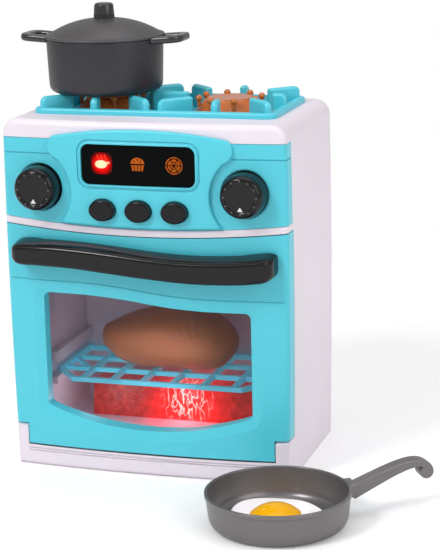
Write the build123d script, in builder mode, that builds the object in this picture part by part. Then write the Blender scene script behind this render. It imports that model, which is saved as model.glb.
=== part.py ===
from build123d import *
import os
from math import atan, cos, degrees, radians, sin, sqrt

os.makedirs("parts", exist_ok=True)

# A toy oven with a gas hob, a roast on a rack, a lidded pot and a frying pan with an egg.
# Millimetres, +Z up, the front looks along -Y, and the origin is the middle of the oven's underside.

# driving dimensions: the case
body_width = 190.0          # across the front corners
body_depth = 116.0          # front corners to the back
body_height = 232.5
front_bow = 5.0             # how far the middle of the front stands out past its corners
side_swell = 1.3            # how far each side swells out at mid height
top_narrowing = 0.8         # each side, at the top
base_narrowing = 1.8        # each side, at the base
top_corner_radius = 10.0
base_corner_radius = 5.0
edge_radius = 4.0           # around the front and the back of the case
wall = 2.5
seam = 0.2                  # gap between two mouldings of one body
fit_gap = 0.3               # gap round a piece that moves
shaft_gap = 0.06            # radial gap of a turning shaft
back_cover_depth = 6.0

# control panel
top_strip = 11.5            # white strip between the top of the case and the panel
panel_height = 56.7         # at the middle
panel_depth = 12.0          # how far it wraps round the side
rail_sag = 5.1              # the rail under the panel droops this much from its corners to the middle
rail_height = 4.4
plate_lift = 3.0            # raised centre plate
plate_top_drop = 4.0        # from the top of the case down to the plate
plate_edge = 1.4            # rounding of the plate's front edge
groove_width = 0.7
groove_depth = 0.6
panel_groove_drop = 10.0    # from the top of the panel down to the groove beside each knob

# display and its lamps
display_width = 76.0
display_height = 26.0
display_drop = 15.0         # from the top of the panel down to the display's middle
display_corner_radius = 5.5
display_sink = 0.8
display_thickness = 2.0
display_rim = 3.4           # ledge behind the pane
display_frame_width = 1.3   # raised frame round the pane
display_frame_rise = 0.7
display_groove_gap = 2.0    # from the pane out to the groove round its frame
lamp_pitch = 24.0
lamp_radius = 2.5

# push buttons
button_pitch = 24.0
button_lift = 12.7          # from the foot of the panel up to the buttons' middles
button_wide = 17.2
button_tall = 13.8
button_proud = 4.0
button_travel = 2.0
button_stem_radius = 1.5

# knobs
knob_spread = 68.5
knob_lift = 25.0            # from the foot of the panel up to the knobs' middles
knob_base_radius = 15.0
knob_face_radius = 13.4
knob_length = 13.5
knob_shaft_radius = 4.0
knob_wall = 2.0
knob_dots = 12

# door
door_bottom = 15.2
door_depth = 14.0
door_gap = 0.6
notch_height = 28.5         # top of the white corner beside the door's foot
notch_inset = 10.5          # from the side of the case to the white corner's inner edge
hinge_height = 21.5
hinge_inset = 9.0           # from the front of the door's middle back to the hinge pin
hinge_pin_radius = 2.0
window_half_width = 70.0
window_left_drop = 40.7     # from the top of the door down to the window, at its left
window_right_drop = 47.9
window_side_bottom = 43.0
window_middle_bottom = 30.0
window_corner_radius = 4.0
bevel_width = 6.4
bevel_depth = 2.2
pane_thickness = 1.5
crease_drop = 8.3           # from the crease across the door down to the top of the window
sill_grooves = 2
sill_groove_drop = 3.2      # from the foot of the door down to the first groove
sill_groove_pitch = 1.6

# door handle
handle_half_width = 85.5
handle_left_drop = 10.9     # from the top of the door down to the handle's middle, at its left
handle_right_drop = 15.7
handle_tall = 13.0
handle_thick = 8.0
handle_reach = 17.0         # from the door's face to the front of the bar
handle_foot_length = 15.0

# oven cavity, rack and fire box
cavity_half_width = 78.0
cavity_floor = 18.0
cavity_ceiling_drop = 25.9  # from the top of the door down to the ceiling
cavity_back_inset = 22.0    # from the back of the case to the back of the cavity
liner_wall = 1.8
ledge_width = 4.6
rack_height = 54.0          # underside of the rack
rack_thickness = 3.0
rack_bar = 3.0
rack_pitch = 21.0
rack_rods = 6
rack_half_width = 75.8
rack_shift = -1.0           # the rack lies a little to the left in its rails
fire_box_width = 126.0
fire_box_clearance = 5.0    # between the box and the back of the cavity
fire_box_depth = 30.0
fire_box_height = 25.0
fire_wall = 1.8
fire_draft = 3.0            # degrees

# roast
roast_length = 93.6
roast_depth = 60.0
roast_height = 42.0

# hob
hob_width = 163.0
hob_depth = 81.5
hob_centre_y = 4.2
hob_corner_radius = 7.0
hob_rim_height = 3.6
hob_rim_width = 4.5
hob_floor_sink = 4.5        # below the top of the case
hob_wall = 2.0
burner_spread = 40.7
vane_top = 10.5             # above the top of the case
vane_thickness = 4.4
vane_inner_radius = 28.0
burner_cap_radius = 16.5
burner_foot_radius = 25.0
burner_cap_height = 7.8     # above the top of the case
bead_ring_radius = 20.5
bead_radius = 2.0
beads = 8

# pot
pot_x = -44.5
pot_y = 3.5
pot_base_radius = 36.6
pot_rim_radius = 38.6
pot_height = 35.2
pot_wall = 1.8
pot_base_fillet = 5.0
pot_ear_reach = 58.5        # from the pot's axis to the outside of each ear
pot_ear_length = 29.0
pot_ear_bar = 5.5
lid_radius = 41.0
lid_rim_height = 2.0
lid_dome = 8.5
lid_wall = 1.8
lid_knob_radius = 6.9
lid_knob_height = 13.4

# frying pan and egg
pan_x = 104.0
pan_y = -122.0
pan_base_radius = 41.5
pan_rim_radius = 44.0
pan_height = 19.6
pan_wall = 1.8
pan_handle_turn = 34.0      # degrees from +X
pan_handle_reach = 94.0     # from the pan's axis to the handle's end
pan_handle_wide = 9.0
pan_handle_thick = 6.4
pan_handle_tip_radius = 4.8
egg_radius = 28.0
yolk_radius = 15.5
yolk_height = 9.0

# battery box in the back
battery_diameter = 14.2
battery_length = 50.0
battery_count = 3
battery_pitch = 15.2
battery_box_drop = 82.5      # from the top of the case down to the underside of the box
screw_radius = 1.5

# worked out from the above
half_width = body_width / 2
notch_half_width = half_width - notch_inset
corner_y = -body_depth / 2
back_y = body_depth / 2
bow_radius = (half_width**2 + front_bow**2) / (2 * front_bow)
bow_centre_y = corner_y - front_bow + bow_radius
rail_radius = (half_width**2 + rail_sag**2) / (2 * rail_sag)
front_reach = body_depth / 2 + front_bow + handle_reach + 10
wide = half_width + 10
panel_back = corner_y + panel_depth
door_back = corner_y + door_depth - door_gap
bulkhead_face = corner_y + door_depth
hollow_front = bulkhead_face + wall
cavity_back = back_y - cavity_back_inset
fire_box_front = cavity_back - fire_box_clearance - fire_box_depth
cover_front = back_y - back_cover_depth
hinge_y = corner_y - front_bow + hinge_inset
panel_top = body_height - top_strip
panel_bottom = panel_top - panel_height
panel_groove_height = panel_top - panel_groove_drop
plate_top = body_height - plate_top_drop
display_centre_height = panel_top - display_drop
button_height = panel_bottom + button_lift
knob_height = panel_bottom + knob_lift
door_top = panel_bottom - rail_height
window_top_left = door_top - window_left_drop
window_top_right = door_top - window_right_drop
handle_left_height = door_top - handle_left_drop
handle_right_height = door_top - handle_right_drop
cavity_ceiling = door_top - cavity_ceiling_drop
battery_box_height = body_height - battery_box_drop


def front_y(x, inset=0.0):
    """Y of the bowed front at x, on a surface set back from it by inset."""
    return bow_centre_y - sqrt((bow_radius - inset) ** 2 - x**2)


def rail_z(x, middle):
    """Height at x of the drooping rail line that is at height middle over x = 0."""
    return middle + rail_radius - sqrt(rail_radius**2 - x**2)


def front_outline(inset=0.0):
    """The case seen from the front: swelling sides, rounded corners."""
    with BuildSketch(Plane.XZ) as outline:
        with BuildLine():
            foot = half_width - base_narrowing
            head = half_width - top_narrowing
            mid = half_width + side_swell - (base_narrowing + top_narrowing) / 2
            Line((-foot, 0), (foot, 0))
            ThreePointArc((foot, 0), (mid, body_height / 2), (head, body_height))
            Line((head, body_height), (-head, body_height))
            ThreePointArc((-head, body_height), (-mid, body_height / 2), (-foot, 0))
        make_face()
        rows = outline.vertices().group_by(Axis.Y)
        fillet(rows[-1], top_corner_radius)
        fillet(rows[0], base_corner_radius)
        if inset:
            offset(amount=-inset)
    return outline.sketch


def plan_outline(inset):
    """The case seen from above: a bowed front and a straight back."""
    with BuildSketch(Plane.XY) as plan:
        with BuildLine():
            side = front_y(wide, inset)
            ThreePointArc((-wide, side), (0, front_y(0, inset)), (wide, side))
            Polyline((wide, side), (wide, back_y), (-wide, back_y), (-wide, side))
        make_face()
    return plan.sketch


def case_block(side_inset, front_inset, back, rounding=0.0):
    """A solid with the outline of the case, from its bowed front to the plane y = back."""
    with BuildPart() as block:
        with BuildSketch(Plane.XZ.offset(-back)):
            add(front_outline(side_inset))
        extrude(amount=back + front_reach)
        with BuildSketch(Plane.XY):
            add(plan_outline(front_inset))
        extrude(amount=body_height, mode=Mode.INTERSECT)
        if rounding:
            fillet(block.faces().sort_by(Axis.Y)[0].edges(), rounding)
    return block.part


def front_piece(face, front_inset, back, side_inset=0.0, rounding=0.0):
    """The part of a case block that stands behind a face drawn on the front."""
    with BuildPart() as piece:
        add(case_block(side_inset, front_inset, back, rounding))
        with BuildSketch(Plane.XZ.offset(-back)):
            add(face)
        extrude(amount=back + front_reach, mode=Mode.INTERSECT)
    return piece.part


def panel_face(gap=0.0):
    """The control panel seen from the front: a straight top, a drooping lower edge."""
    low = panel_bottom + gap
    top = panel_top - gap
    with BuildSketch(Plane.XZ) as face:
        with BuildLine():
            ThreePointArc((-wide, rail_z(wide, low)), (0, low), (wide, rail_z(wide, low)))
            Polyline((wide, rail_z(wide, low)), (wide, top), (-wide, top), (-wide, rail_z(wide, low)))
        make_face()
    return face.sketch


def door_face(grow=0.0):
    """The door seen from the front, with the notches beside its foot."""
    bottom = door_bottom - grow
    notch = notch_height + door_gap - grow
    foot = notch_half_width + grow
    top = door_top - door_gap + grow
    side_top = rail_z(wide, top)
    with BuildSketch(Plane.XZ) as face:
        with BuildLine():
            Polyline((-wide, side_top), (-wide, notch), (-foot, notch), (-foot, bottom), (foot, bottom),
                     (foot, notch), (wide, notch), (wide, side_top))
            ThreePointArc((wide, side_top), (0, top), (-wide, side_top))
        make_face()
    return face.sketch


def window_face(grow=0.0):
    """The window: an S-curved top edge over a bowed bottom edge."""
    side = window_half_width
    flat = side * 5 / 7
    middle_top = (window_top_left + window_top_right) / 2
    with BuildSketch(Plane.XZ) as face:
        with BuildLine():
            ThreePointArc((-side, window_side_bottom), (0, window_middle_bottom), (side, window_side_bottom))
            Polyline((side, window_side_bottom), (side, window_top_right), (flat, window_top_right))
            TangentArc((flat, window_top_right), (0, middle_top), tangent=(-1, 0))
            TangentArc((-flat, window_top_left), (0, middle_top), tangent=(1, 0))
            Polyline((-flat, window_top_left), (-side, window_top_left), (-side, window_side_bottom))
        make_face()
        corners = face.vertices().filter_by(lambda v: abs(v.X) > side - 1)
        fillet(corners, window_corner_radius)
        if grow:
            offset(amount=grow)
    return face.sketch


def plate_face(inset=0.0):
    """The raised plate of the panel: it narrows between the knobs and arches at the top."""
    foot_z = panel_bottom + seam + 1.0
    neck_reach = 22.0
    neck_x = knob_spread - neck_reach
    shoulder_x = 55.3
    shoulder_z = plate_top - 20.5
    foot_x = 54.0
    lobe_x = 61.5
    lobe_z = plate_top - 12.5
    tip_x = 58.0
    tip_z = plate_top - 5.5
    with BuildSketch(Plane.XZ) as face:
        with BuildLine():
            ThreePointArc((-foot_x, rail_z(foot_x, foot_z)), (0, foot_z), (foot_x, rail_z(foot_x, foot_z)))
            for side in (-1, 1):
                ThreePointArc((side * foot_x, rail_z(foot_x, foot_z)), (side * neck_x, knob_height),
                              (side * shoulder_x, shoulder_z))
                ThreePointArc((side * shoulder_x, shoulder_z), (side * lobe_x, lobe_z), (side * tip_x, tip_z))
            ThreePointArc((-tip_x, tip_z), (0, plate_top), (tip_x, tip_z))
        make_face()
        if inset:
            offset(amount=-inset)
    return face.sketch


def crease_face(width):
    """A thin band across the door that follows the S of the window's top edge."""
    flat = window_half_width * 5 / 7
    left = window_top_left + crease_drop
    right = window_top_right + crease_drop
    with BuildSketch(Plane.XZ) as face:
        with BuildLine():
            for rise in (0, width):
                Line((-wide, left + rise), (-flat, left + rise))
                TangentArc((-flat, left + rise), (0, (left + right) / 2 + rise), tangent=(1, 0))
                TangentArc((flat, right + rise), (0, (left + right) / 2 + rise), tangent=(-1, 0))
                Line((flat, right + rise), (wide, right + rise))
            Line((-wide, left), (-wide, left + width))
            Line((wide, right), (wide, right + width))
        make_face()
    return face.sketch


def upright(x, y, z, turn=0.0):
    """The upright plane through a point, its X axis turned from +X by this many degrees."""
    angle = radians(turn)
    return Plane(origin=(x, y, z), x_dir=(cos(angle), sin(angle), 0), z_dir=(sin(angle), -cos(angle), 0))


def level(x, y, z, turn=0.0):
    """The level plane through a point, its X axis turned from +X by this many degrees."""
    angle = radians(turn)
    return Plane(origin=(x, y, z), x_dir=(cos(angle), sin(angle), 0), z_dir=(0, 0, 1))


def dome_z(x, radius, rise):
    """Height above its foot, at x from its axis, of a round dome of this foot radius and rise."""
    ball = (radius**2 + rise**2) / (2 * rise)
    return sqrt(ball**2 - x**2) - ball + rise


def rounded_face(x, z, across, tall, radius):
    """A rounded rectangle on the front."""
    with BuildSketch(Plane.XZ) as face:
        with Locations((x, z)):
            RectangleRounded(across, tall, radius)
    return face.sketch


def handle_face(grow=0.0, half=handle_half_width):
    """The S-shaped bar of the door handle seen from the front."""
    rise = handle_tall / 2 + grow
    bend = half * 0.58
    lift = 1.0
    line = [(-half, handle_left_height - lift), (-bend, handle_left_height + lift),
            (0, (handle_left_height + handle_right_height) / 2),
            (bend, handle_right_height - lift), (half, handle_right_height + lift)]
    with BuildSketch(Plane.XZ) as face:
        with BuildLine():
            Spline(*[(x, z + rise) for x, z in line])
            Spline(*[(x, z - rise) for x, z in line])
            Line((-half, line[0][1] - rise), (-half, line[0][1] + rise))
            Line((half, line[-1][1] - rise), (half, line[-1][1] + rise))
        make_face()
        fillet(face.vertices(), handle_tall * 0.3)
    return face.sketch


# case
foot_end = notch_half_width + door_gap
foot_end_radius = sqrt((hinge_y - front_y(foot_end)) ** 2 + (hinge_height - door_bottom) ** 2) + door_gap
foot_middle_radius = sqrt(hinge_inset**2 + (hinge_height - door_bottom) ** 2) + door_gap
with BuildPart() as door_swing:
    # the space under the hinge that the foot of the door turns in: a quarter of a barrel, and a step
    with BuildSketch(Plane(origin=(0, hinge_y, hinge_height), x_dir=(1, 0, 0), z_dir=(0, -1, 0))):
        with BuildLine():
            ThreePointArc((-foot_end, -foot_end_radius), (0, -foot_middle_radius),
                          (foot_end, -foot_end_radius))
            Polyline((foot_end, -foot_end_radius), (foot_end, 0), (-foot_end, 0),
                     (-foot_end, -foot_end_radius))
        make_face()
    revolve(axis=Axis((0, hinge_y, hinge_height), (1, 0, 0)), revolution_arc=-90)
    with BuildSketch(Plane.XY.offset(hinge_height - foot_middle_radius)):
        with Locations((0, (hinge_y + bulkhead_face) / 2)):
            Rectangle(2 * foot_end, bulkhead_face - hinge_y)
    extrude(amount=foot_middle_radius)

with BuildPart() as sill_lines:
    for row in range(sill_grooves):
        sill_groove_height = door_bottom - sill_groove_drop - row * sill_groove_pitch
        add(front_piece(rounded_face(0, sill_groove_height, 2 * notch_half_width, groove_width,
                                     groove_width / 3), -1.0, corner_y, -1.0))
    add(case_block(groove_depth, groove_depth, corner_y + door_depth), mode=Mode.SUBTRACT)

boss_inset = 8.5
boss_low = 14.0
boss_heights = (boss_low, body_height / 2, body_height - 20.5)
boss_spots = [(side * (half_width - boss_inset), z) for side in (-1, 1) for z in boss_heights]
wire_hole_radius = 5.0
boss_radius = 3.6
boss_length = 26.0
mouth_radius = 5.0
dish_width = hob_width - 2 * (hob_rim_width - hob_wall)
dish_depth = hob_depth - 2 * (hob_rim_width - hob_wall)
dish_corner = hob_corner_radius - hob_rim_width + hob_wall
screw_hole = screw_radius + shaft_gap
mouth_height = cavity_ceiling - cavity_floor
mouth_middle = (cavity_ceiling + cavity_floor) / 2
corner_turn_radius = notch_height - hinge_height
with BuildPart() as front_housing:
    add(case_block(0, 0, cover_front, edge_radius))
    with BuildSketch(Plane.XZ.offset(-cover_front)):
        add(front_outline(wall))
    extrude(amount=cover_front - hollow_front, mode=Mode.SUBTRACT)
    with BuildSketch(Plane.XZ.offset(-panel_back)):
        add(panel_face())
    extrude(amount=front_reach, mode=Mode.SUBTRACT)
    with BuildSketch(Plane.XZ.offset(-bulkhead_face)):
        add(door_face(door_gap))
    extrude(amount=front_reach, mode=Mode.SUBTRACT)
    add(door_swing.part, mode=Mode.SUBTRACT)
    # the white corners beside the foot of the door are rounded about the hinge
    for side in (-1, 1):
        with BuildSketch(Plane.YZ.offset(side * foot_end)):
            with BuildLine():
                CenterArc((hinge_y, hinge_height), corner_turn_radius, 90, 90)
                Polyline((hinge_y - corner_turn_radius, hinge_height),
                         (hinge_y - 2 * corner_turn_radius, hinge_height),
                         (hinge_y - 2 * corner_turn_radius, notch_height + 1),
                         (hinge_y, notch_height + 1), (hinge_y, notch_height))
            make_face()
        extrude(amount=side * (wide - foot_end), mode=Mode.SUBTRACT)
        with BuildSketch(Plane.YZ.offset(side * foot_end)):
            with Locations((hinge_y, hinge_height)):
                Circle(hinge_pin_radius + shaft_gap)
        extrude(amount=side * (half_width - base_narrowing - wall - foot_end + 1.5), mode=Mode.SUBTRACT)
    # mouth of the oven
    with BuildSketch(Plane.XZ.offset(-hollow_front)):
        with Locations((0, mouth_middle)):
            RectangleRounded(2 * cavity_half_width, mouth_height, mouth_radius)
    extrude(amount=front_reach, mode=Mode.SUBTRACT)
    # the strip over the panel and the sill are hollow behind a wall
    add(front_piece(rounded_face(0, body_height, 2 * wide, 2 * (body_height - panel_top - wall), 1.0),
                    wall, hollow_front + 0.01, wall), mode=Mode.SUBTRACT)
    add(front_piece(rounded_face(0, 0, 2 * wide, 2 * (hinge_height - foot_middle_radius - wall), 1.0),
                    wall, hollow_front + 0.01, wall), mode=Mode.SUBTRACT)
    # opening for the dish of the hob
    with BuildSketch(Plane.XY.offset(body_height - 2 * wall)):
        with Locations((0, hob_centre_y)):
            RectangleRounded(dish_width + 2 * seam, dish_depth + 2 * seam, dish_corner)
    extrude(amount=3 * wall, mode=Mode.SUBTRACT)
    # screw bosses for the back cover, on webs from the sides
    with BuildSketch(Plane.XZ.offset(-cover_front)):
        with Locations(*boss_spots):
            Circle(boss_radius)
        for x, z in boss_spots:
            with Locations(((abs(x) + half_width - wall) / 2 * (1 if x > 0 else -1), z)):
                Rectangle(half_width - wall - abs(x) + 1.0, wall)
        with Locations(*boss_spots):
            Circle(screw_hole, mode=Mode.SUBTRACT)
    extrude(amount=boss_length)
    # way for the wires behind the panel
    with BuildSketch(Plane.XZ.offset(-hollow_front)):
        with Locations((0, button_height)):
            Circle(wire_hole_radius)
    extrude(amount=wall * 2, mode=Mode.SUBTRACT)
    # fine grooves along the sill
    add(sill_lines.part, mode=Mode.SUBTRACT)

battery_box_tall = battery_count * battery_pitch + 0.6
battery_box_wide = battery_length + 6.0
battery_middle = battery_box_height + battery_box_tall / 2
battery_box_depth = battery_diameter + 0.8
lid_middle = battery_middle + 2.0
battery_lid_thickness = 2.0
battery_lid_margin = 3.5
battery_lid_extra = 8.0      # the lid is this much taller than its box, for its screw
battery_lid_corner = 3.0
battery_lid_wide = battery_box_wide + 2 * battery_lid_margin
battery_lid_tall = battery_box_tall + 2 * battery_lid_margin + battery_lid_extra
battery_cell_length = battery_length - 1.5
nipple_radius = 2.6
nipple_length = 1.3
contact_size = 9.0
contact_thickness = 0.5
spring_radius = 4.0
spring_taper = 20.0          # degrees
bump_radius = 2.2
cell_start = 0.3             # below the lowest cell
box_wall = 1.6
speaker_x = 60.0
speaker_height = body_height - 52.5
speaker_radius = 14.0
speaker_depth = 5.0
speaker_rim = 1.6
speaker_taper = 35.0         # degrees
magnet_radius = 6.5
magnet_depth = 2.5
switch_x = -60.0
switch_height = body_height - 52.5
switch_travel = 4.0
switch_case_wide = 20.0
switch_case_tall = 7.0
switch_case_deep = 5.5
slider_wide = 4.0
slider_tall = 3.0
slider_deep = 2.5
slider_cap_wide = 5.0
slider_cap_tall = 4.0
slider_proud = 1.4
grip_pitch = 1.6
grip_width = 0.6
grip_depth = 0.5
cover_screw_depth = 2.5
lid_screw_height = battery_box_height + battery_box_tall + battery_lid_margin + 4.0
inner_back = back_y - wall
pocket_floor = back_y - battery_lid_thickness - battery_box_depth
cell_y = pocket_floor + battery_diameter / 2
lid_post_depth = 8.0
speaker_slot_pitch = 4.5
speaker_slot_width = 1.8
with BuildPart() as back_cover:
    with BuildSketch(Plane.XZ.offset(-back_y)):
        add(front_outline())
    extrude(amount=back_cover_depth)
    fillet(back_cover.faces().sort_by(Axis.Y)[-1].edges(), edge_radius)
    with BuildSketch(Plane.XZ.offset(-inner_back)):
        add(front_outline(wall))
    extrude(amount=back_cover_depth, mode=Mode.SUBTRACT)
    # battery box, screw posts, speaker ring
    with BuildSketch(Plane.XZ.offset(-inner_back)):
        with Locations((0, battery_middle)):
            Rectangle(battery_box_wide + 2 * box_wall, battery_box_tall + 2 * box_wall)
    extrude(amount=inner_back - pocket_floor + box_wall)
    with BuildSketch(Plane.XZ.offset(-inner_back)):
        with Locations(*boss_spots):
            Circle(boss_radius + 1.0)
        with Locations((speaker_x, speaker_height)):
            Circle(speaker_radius + seam + box_wall)
            Circle(speaker_radius + seam, mode=Mode.SUBTRACT)
    extrude(amount=inner_back - cover_front)
    with BuildSketch(Plane.XZ.offset(-inner_back)):
        with Locations((0, lid_screw_height)):
            Circle(boss_radius)
    extrude(amount=lid_post_depth)
    with BuildSketch(Plane.XZ.offset(-back_y)):
        with Locations((0, battery_middle)):
            Rectangle(battery_box_wide, battery_box_tall)
    extrude(amount=back_y - pocket_floor, mode=Mode.SUBTRACT)
    with BuildSketch(Plane.XZ.offset(-back_y)):
        with Locations((0, lid_middle)):
            RectangleRounded(battery_lid_wide, battery_lid_tall, battery_lid_corner)
    extrude(amount=battery_lid_thickness, mode=Mode.SUBTRACT)
    # holes for screws, switch and sound
    with BuildSketch(Plane.XZ.offset(-back_y)):
        with Locations(*boss_spots):
            Circle(screw_radius * 2 + 0.4)
    extrude(amount=cover_screw_depth, mode=Mode.SUBTRACT)
    with BuildSketch(Plane.XZ.offset(-back_y)):
        with Locations(*boss_spots):
            Circle(screw_hole)
        with Locations((0, lid_screw_height)):
            Circle(screw_hole)
        with Locations((switch_x, switch_height)):
            RectangleRounded(slider_cap_wide + switch_travel + 2 * fit_gap,
                             slider_cap_tall + 2 * fit_gap, 0.8)
        for row in range(-2, 3):
            with Locations((speaker_x, speaker_height + row * speaker_slot_pitch)):
                SlotOverall(2 * sqrt((speaker_radius - 2) ** 2 - (row * speaker_slot_pitch) ** 2),
                            speaker_slot_width)
    extrude(amount=back_cover_depth + lid_post_depth, mode=Mode.SUBTRACT)

with BuildPart() as battery_lid:
    with BuildSketch(Plane.XZ.offset(-back_y)):
        with Locations((0, lid_middle)):
            RectangleRounded(
                battery_lid_wide - 2 * seam,
                battery_lid_tall - 2 * seam,
                battery_lid_corner - seam,
            )
        with Locations((0, lid_screw_height)):
            Circle(screw_hole, mode=Mode.SUBTRACT)
    extrude(amount=battery_lid_thickness)
    # grip ridges
    with BuildSketch(Plane.XZ.offset(-back_y)):
        for row in range(-1, 2):
            with Locations((0, battery_box_height + 6.0 + row * 3.0)):
                SlotOverall(18.0, 1.2)
    extrude(amount=-0.6)

with BuildPart() as batteries:
    for n in range(battery_count):
        z = battery_box_height + cell_start + battery_pitch * (n + 0.5)
        lean = 1 if n % 2 else -1
        with BuildSketch(Plane.YZ.offset(-lean * battery_cell_length / 2)):
            with Locations((cell_y, z)):
                Circle(battery_diameter / 2)
        extrude(amount=lean * battery_cell_length)
        with BuildSketch(Plane.YZ.offset(lean * battery_cell_length / 2)):
            with Locations((cell_y, z)):
                Circle(nipple_radius)
        extrude(amount=lean * nipple_length)

with BuildPart() as battery_contacts:
    for side in (-1, 1):
        with BuildSketch(Plane.YZ.offset(side * battery_box_wide / 2)):
            for n in range(battery_count):
                with Locations((cell_y, battery_box_height + cell_start + battery_pitch * (n + 0.5))):
                    Rectangle(contact_size, contact_size)
        extrude(amount=-side * contact_thickness)
        # the springs press on the flat ends, the bumps on the nipples
        for n in range(battery_count):
            lean = 1 if n % 2 else -1
            spring = lean != side
            with BuildSketch(Plane.YZ.offset(side * (battery_box_wide / 2 - contact_thickness))):
                with Locations((cell_y, battery_box_height + cell_start + battery_pitch * (n + 0.5))):
                    Circle(spring_radius if spring else bump_radius)
            reach = (battery_box_wide - battery_cell_length) / 2 - contact_thickness
            if not spring:
                reach -= nipple_length
            extrude(amount=-side * reach, taper=spring_taper if spring else 0)

with BuildPart() as speaker:
    with BuildSketch(Plane.XZ.offset(-inner_back)):
        with Locations((speaker_x, speaker_height)):
            Circle(speaker_radius)
    extrude(amount=speaker_rim)
    with BuildSketch(Plane.XZ.offset(-inner_back + speaker_rim)):
        with Locations((speaker_x, speaker_height)):
            Circle(speaker_radius - 1.0)
    extrude(amount=speaker_depth - speaker_rim, taper=speaker_taper)
    with BuildSketch(Plane.XZ.offset(-inner_back + speaker_depth)):
        with Locations((speaker_x, speaker_height)):
            Circle(magnet_radius)
    extrude(amount=magnet_depth)

with BuildPart() as power_switch:
    with BuildSketch(Plane.XZ.offset(-inner_back)):
        with Locations((switch_x, switch_height)):
            Rectangle(switch_case_wide, switch_case_tall)
    extrude(amount=switch_case_deep)
    with BuildSketch(Plane.XZ.offset(-inner_back)):
        with Locations((switch_x, switch_height)):
            Rectangle(slider_wide + switch_travel + 2 * fit_gap, slider_tall + 2 * fit_gap)
    extrude(amount=slider_deep, mode=Mode.SUBTRACT)

with BuildPart() as switch_slider:
    start = switch_x - switch_travel / 2
    with BuildSketch(Plane.XZ.offset(-inner_back + slider_deep - fit_gap)):
        with Locations((start, switch_height)):
            Rectangle(slider_wide, slider_tall)
    extrude(amount=-(slider_deep - fit_gap))
    with BuildSketch(Plane.XZ.offset(-inner_back)):
        with Locations((start, switch_height)):
            Rectangle(slider_cap_wide, slider_cap_tall)
    extrude(amount=-(wall + slider_proud))
    # grip grooves
    with BuildSketch(Plane.XZ.offset(-back_y - slider_proud)):
        with GridLocations(grip_pitch, 1, 2, 1):
            with Locations((start, switch_height)):
                Rectangle(grip_width, slider_cap_tall)
    extrude(amount=grip_depth, mode=Mode.SUBTRACT)

with BuildPart() as housing_screws:
    for x, z in boss_spots:
        with BuildSketch(Plane.XZ.offset(-back_y + cover_screw_depth)):
            with Locations((x, z)):
                Circle(screw_radius)
        extrude(amount=15.0)
        with BuildSketch(Plane.XZ.offset(-back_y + cover_screw_depth)):
            with Locations((x, z)):
                Circle(screw_radius * 2)
        extrude(amount=-1.6)
        with BuildSketch(Plane.XZ.offset(-back_y + cover_screw_depth - 1.6)):
            with Locations((x, z)):
                Rectangle(3.4, 0.8)
                Rectangle(0.8, 3.4)
        extrude(amount=0.8, mode=Mode.SUBTRACT)

with BuildPart() as battery_lid_screw:
    with BuildSketch(Plane.XZ.offset(-back_y)):
        with Locations((0, lid_screw_height)):
            Circle(screw_radius)
    extrude(amount=lid_post_depth)
    with BuildSketch(Plane.XZ.offset(-back_y)):
        with Locations((0, lid_screw_height)):
            Circle(screw_radius * 1.8)
    extrude(amount=-1.2)
    with BuildSketch(Plane.XZ.offset(-back_y - 1.2)):
        with Locations((0, lid_screw_height)):
            Rectangle(3.0, 0.7)
            Rectangle(0.7, 3.0)
    extrude(amount=0.6, mode=Mode.SUBTRACT)

# oven cavity
flange_width = 4.0
flange_thickness = 1.5
cavity_radius = 5.0
upper_ledge_low = 63.0
upper_ledge_tall = 8.0
lower_ledge_tall = 5.0
ledge_front = hollow_front + 8.5
ledge_starts = [rack_height - fit_gap - lower_ledge_tall, upper_ledge_low]
ledge_talls = [lower_ledge_tall, upper_ledge_tall]
with BuildPart() as oven_liner:
    with BuildSketch(Plane.XZ.offset(-hollow_front)):
        with Locations((0, mouth_middle)):
            RectangleRounded(2 * (cavity_half_width + flange_width), mouth_height + 2 * flange_width,
                             cavity_radius + flange_width)
    extrude(amount=-flange_thickness)
    with BuildSketch(Plane.XZ.offset(-hollow_front)):
        with Locations((0, mouth_middle)):
            RectangleRounded(2 * (cavity_half_width + liner_wall), mouth_height + 2 * liner_wall,
                             cavity_radius + liner_wall)
    extrude(amount=-(cavity_back + liner_wall - hollow_front))
    with BuildSketch(Plane.XZ.offset(-hollow_front)):
        with Locations((0, mouth_middle)):
            RectangleRounded(2 * cavity_half_width, mouth_height, cavity_radius)
    extrude(amount=-(cavity_back - hollow_front), mode=Mode.SUBTRACT)
    for side in (-1, 1):
        for low, tall in zip(ledge_starts, ledge_talls):
            with BuildSketch(Plane.XZ.offset(-cavity_back)):
                with Locations((side * (cavity_half_width - ledge_width / 2), low + tall / 2)):
                    Rectangle(ledge_width, tall)
            extrude(amount=cavity_back - ledge_front)

# control panel
knob_recess_radius = knob_base_radius + 0.7
knob_floor_y = front_y(knob_spread + knob_recess_radius) + seam
knob_boss_radius = knob_recess_radius + wall
knob_boss_back = knob_floor_y + wall
knob_sleeve_radius = 7.0
knob_sleeve_back = corner_y + 8.0
button_hole_wide = button_wide + 2 * fit_gap
button_hole_tall = button_tall + 2 * fit_gap
plate_inset = wall - plate_lift
post_x = 43.0
post_spots = [(side * post_x, z) for side in (-1, 1) for z in (panel_bottom + 7.2, panel_top - 7.0)]
post_radius = 2.5
board_front = corner_y + 7.6
board_thickness = 1.6
display_opening_width = display_width - 2 * display_rim
display_opening_height = display_height - 2 * display_rim
ring_width = display_width + 2 * display_groove_gap + 2 * groove_width
ring_height = display_height + 2 * display_groove_gap + 2 * groove_width
ring_corner = display_corner_radius + display_groove_gap + groove_width
groove_start_x = knob_spread - 7.5
with BuildPart() as panel_plate:
    add(front_piece(plate_face(), -plate_lift, corner_y))
    fillet(panel_plate.faces().sort_by(Axis.Y)[0].edges(), plate_edge)
    add(front_piece(rounded_face(0, panel_top - seam + body_height / 2, 2 * wide, body_height, 1.0),
                    -seam, corner_y), mode=Mode.SUBTRACT)
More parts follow.
